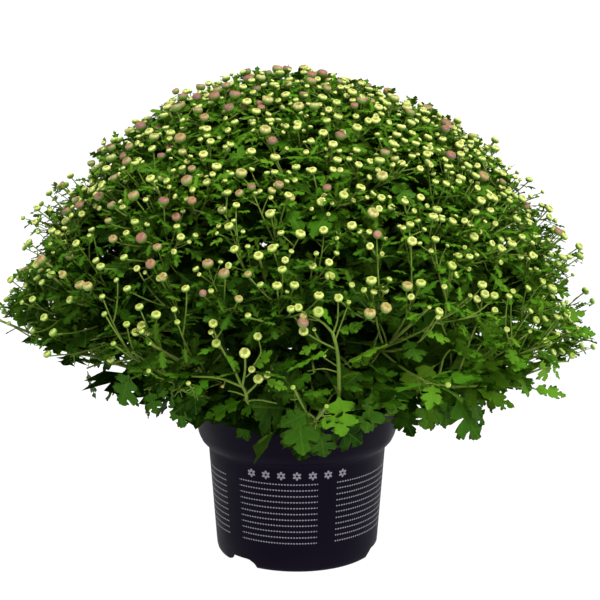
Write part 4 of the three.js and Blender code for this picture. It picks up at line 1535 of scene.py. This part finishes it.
def potMaterial():
    pot = Finish("potPlastic")
    x, y, z = pot.parts(pot.place())
    around = x.math("ARCTAN2", x, y * -1.0)  # 0 at the front
    arc = around * potLook["round"]
    high = z * 1000.0
    garland, panels, rows = potLook["garland"], potLook["panels"], potLook["rows"]
    step = arc.math("WRAP", arc, garland["halfStep"], -garland["halfStep"])
    lift = high - garland["height"]
    out = (step * step + lift * lift) ** 0.5
    petals = abs(step.math("SINE", step.math("ARCTAN2", lift, step) * 3.0)) * garland["petal"] + garland["petalFoot"]
    rosette = (1 - (out - petals).between(-0.25, 0.25)) * (out - garland["middle"]).between(-0.2, 0.2)
    rosettes = rosette * (1 - abs(around).between(garland["end"], garland["end"] + 0.01))
    row = (high - rows["first"]).zigzag(rows["halfStep"])
    dash = arc.zigzag(rows["lozenge"])
    lozenge = 1 - (row * 1.5 + dash).between(0.95, 1.35)
    panel = arc.math("WRAP", arc + panels["shift"], panels["halfStep"], -panels["halfStep"])
    inPanel = 1 - abs(panel).between(panels["half"], panels["half"] + 0.4)
    inPanel = inPanel * high.between(panels["foot"], panels["foot"] + 0.4)
    inPanel = inPanel * (1 - high.between(panels["top"], panels["top"] + 0.4))
    smear = pot.noise(pot.place(), 26.0, 4.0).between(0.3, 0.75)
    grain = pot.noise(pot.place(), 1600.0, 2.0)
    dust = (1 - high.between(0.0, 26.0)) * 0.35 + smear * 0.25
    shell = pot.blend(dust, *potLook["shell"])
    colour = pot.blend((rosettes + lozenge * inPanel) * 0.85, shell, potLook["ink"])
    relief = pot.bump(grain * 0.5 + smear * 0.5, 0.25, 0.0004)
    gloss = 0.40 + smear * 0.14 + grain * 0.06
    return pot.finish(Base_Color=colour, Roughness=gloss, Normal=relief, Specular_IOR_Level=0.04)


def notchHeight(angle):
    notches = potForm["notches"]
    step = 360 / notches["count"]
    off = (angle - notches["first"] + step / 2) % step - step / 2
    aside = abs(math.radians(off)) * notches["middle"]
    share = min(1, max(0, (notches["width"] / 2 + 0.5 - aside) / notches["corner"]))
    return notches["height"] * math.sqrt(max(0, 1 - (1 - share) ** 2))


def buildPot():
    columns, notches = potForm["columns"], potForm["notches"]
    rows = potForm["outside"] + potForm["inside"]
    points = []
    for radius, height in rows:
        inFoot = radius > notches["inner"] and height < notches["height"]
        for k in range(columns):
            angle = math.radians(k * 360 / columns)
            level = max(height, notchHeight(k * 360 / columns)) if inFoot else height
            points.append((radius * math.cos(angle) * mm, radius * math.sin(angle) * mm, level * mm))
    piece = putMesh("nursery_pot", points, ringFaces(len(rows), columns))
    piece.data.validate()
    weld = piece.modifiers.new("weld", "WELD")
    weld.merge_threshold = 0.00002
    drillDrains(piece)
    piece.data.shade_smooth()
    piece.data.set_sharp_from_angle(angle=math.radians(potForm["crease"]))
    piece.data.materials.clear()
    piece.data.materials.append(potMaterial())
    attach(piece, "root")
    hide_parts("pot")


def drillDrains(piece):
    drains = potForm["drains"]
    pins = []
    for k in range(drains["count"] + 1):  # the last one is in the middle
        out = 0 if k == drains["count"] else drains["out"]
        angle = k * 2 * math.pi / drains["count"]
        bpy.ops.mesh.primitive_cylinder_add(vertices=28, radius=drains["radius"] * mm, depth=0.012,
                                            location=(out * math.cos(angle) * mm, out * math.sin(angle) * mm, 0.0099))
        pins.append(bpy.context.object)
    bpy.context.view_layer.update()
    for number, pin in enumerate(pins):
        cut = piece.modifiers.new(f"drain{number}", "BOOLEAN")
        cut.object = pin
        cut.operation = "DIFFERENCE"
    bpy.context.view_layer.update()
    drilled = bpy.data.meshes.new_from_object(piece.evaluated_get(bpy.context.evaluated_depsgraph_get()))
    piece.modifiers.clear()
    piece.data = drilled
    for pin in pins:
        bpy.data.objects.remove(pin)


buildPot()
print("pot ready")


# the soil keeps its solid

peatColours = {
    "lumps": ((0.012, 0.008, 0.006), (0.045, 0.028, 0.018)),
    "flecks": (0.160, 0.110, 0.065),
}


def soilMaterial():
    peat = Finish("peat")
    lumps = peat.noise(peat.place(), 160.0, 6.0, 0.7)
    fibres = peat.noise(peat.place(), 700.0, 3.0, 0.6)
    dark = peat.blend(lumps.between(0.35, 0.65), *peatColours["lumps"])
    colour = peat.blend(fibres.between(0.66, 0.74) * 0.7, dark, peatColours["flecks"])
    relief = peat.bump(lumps + fibres * 0.3, 0.9, 0.003)
    return peat.finish(Base_Color=colour, Roughness=0.85 + fibres * 0.1, Normal=relief)


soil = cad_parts["soil"]
soil.data.materials.clear()
soil.data.materials.append(soilMaterial())
print("soil ready")
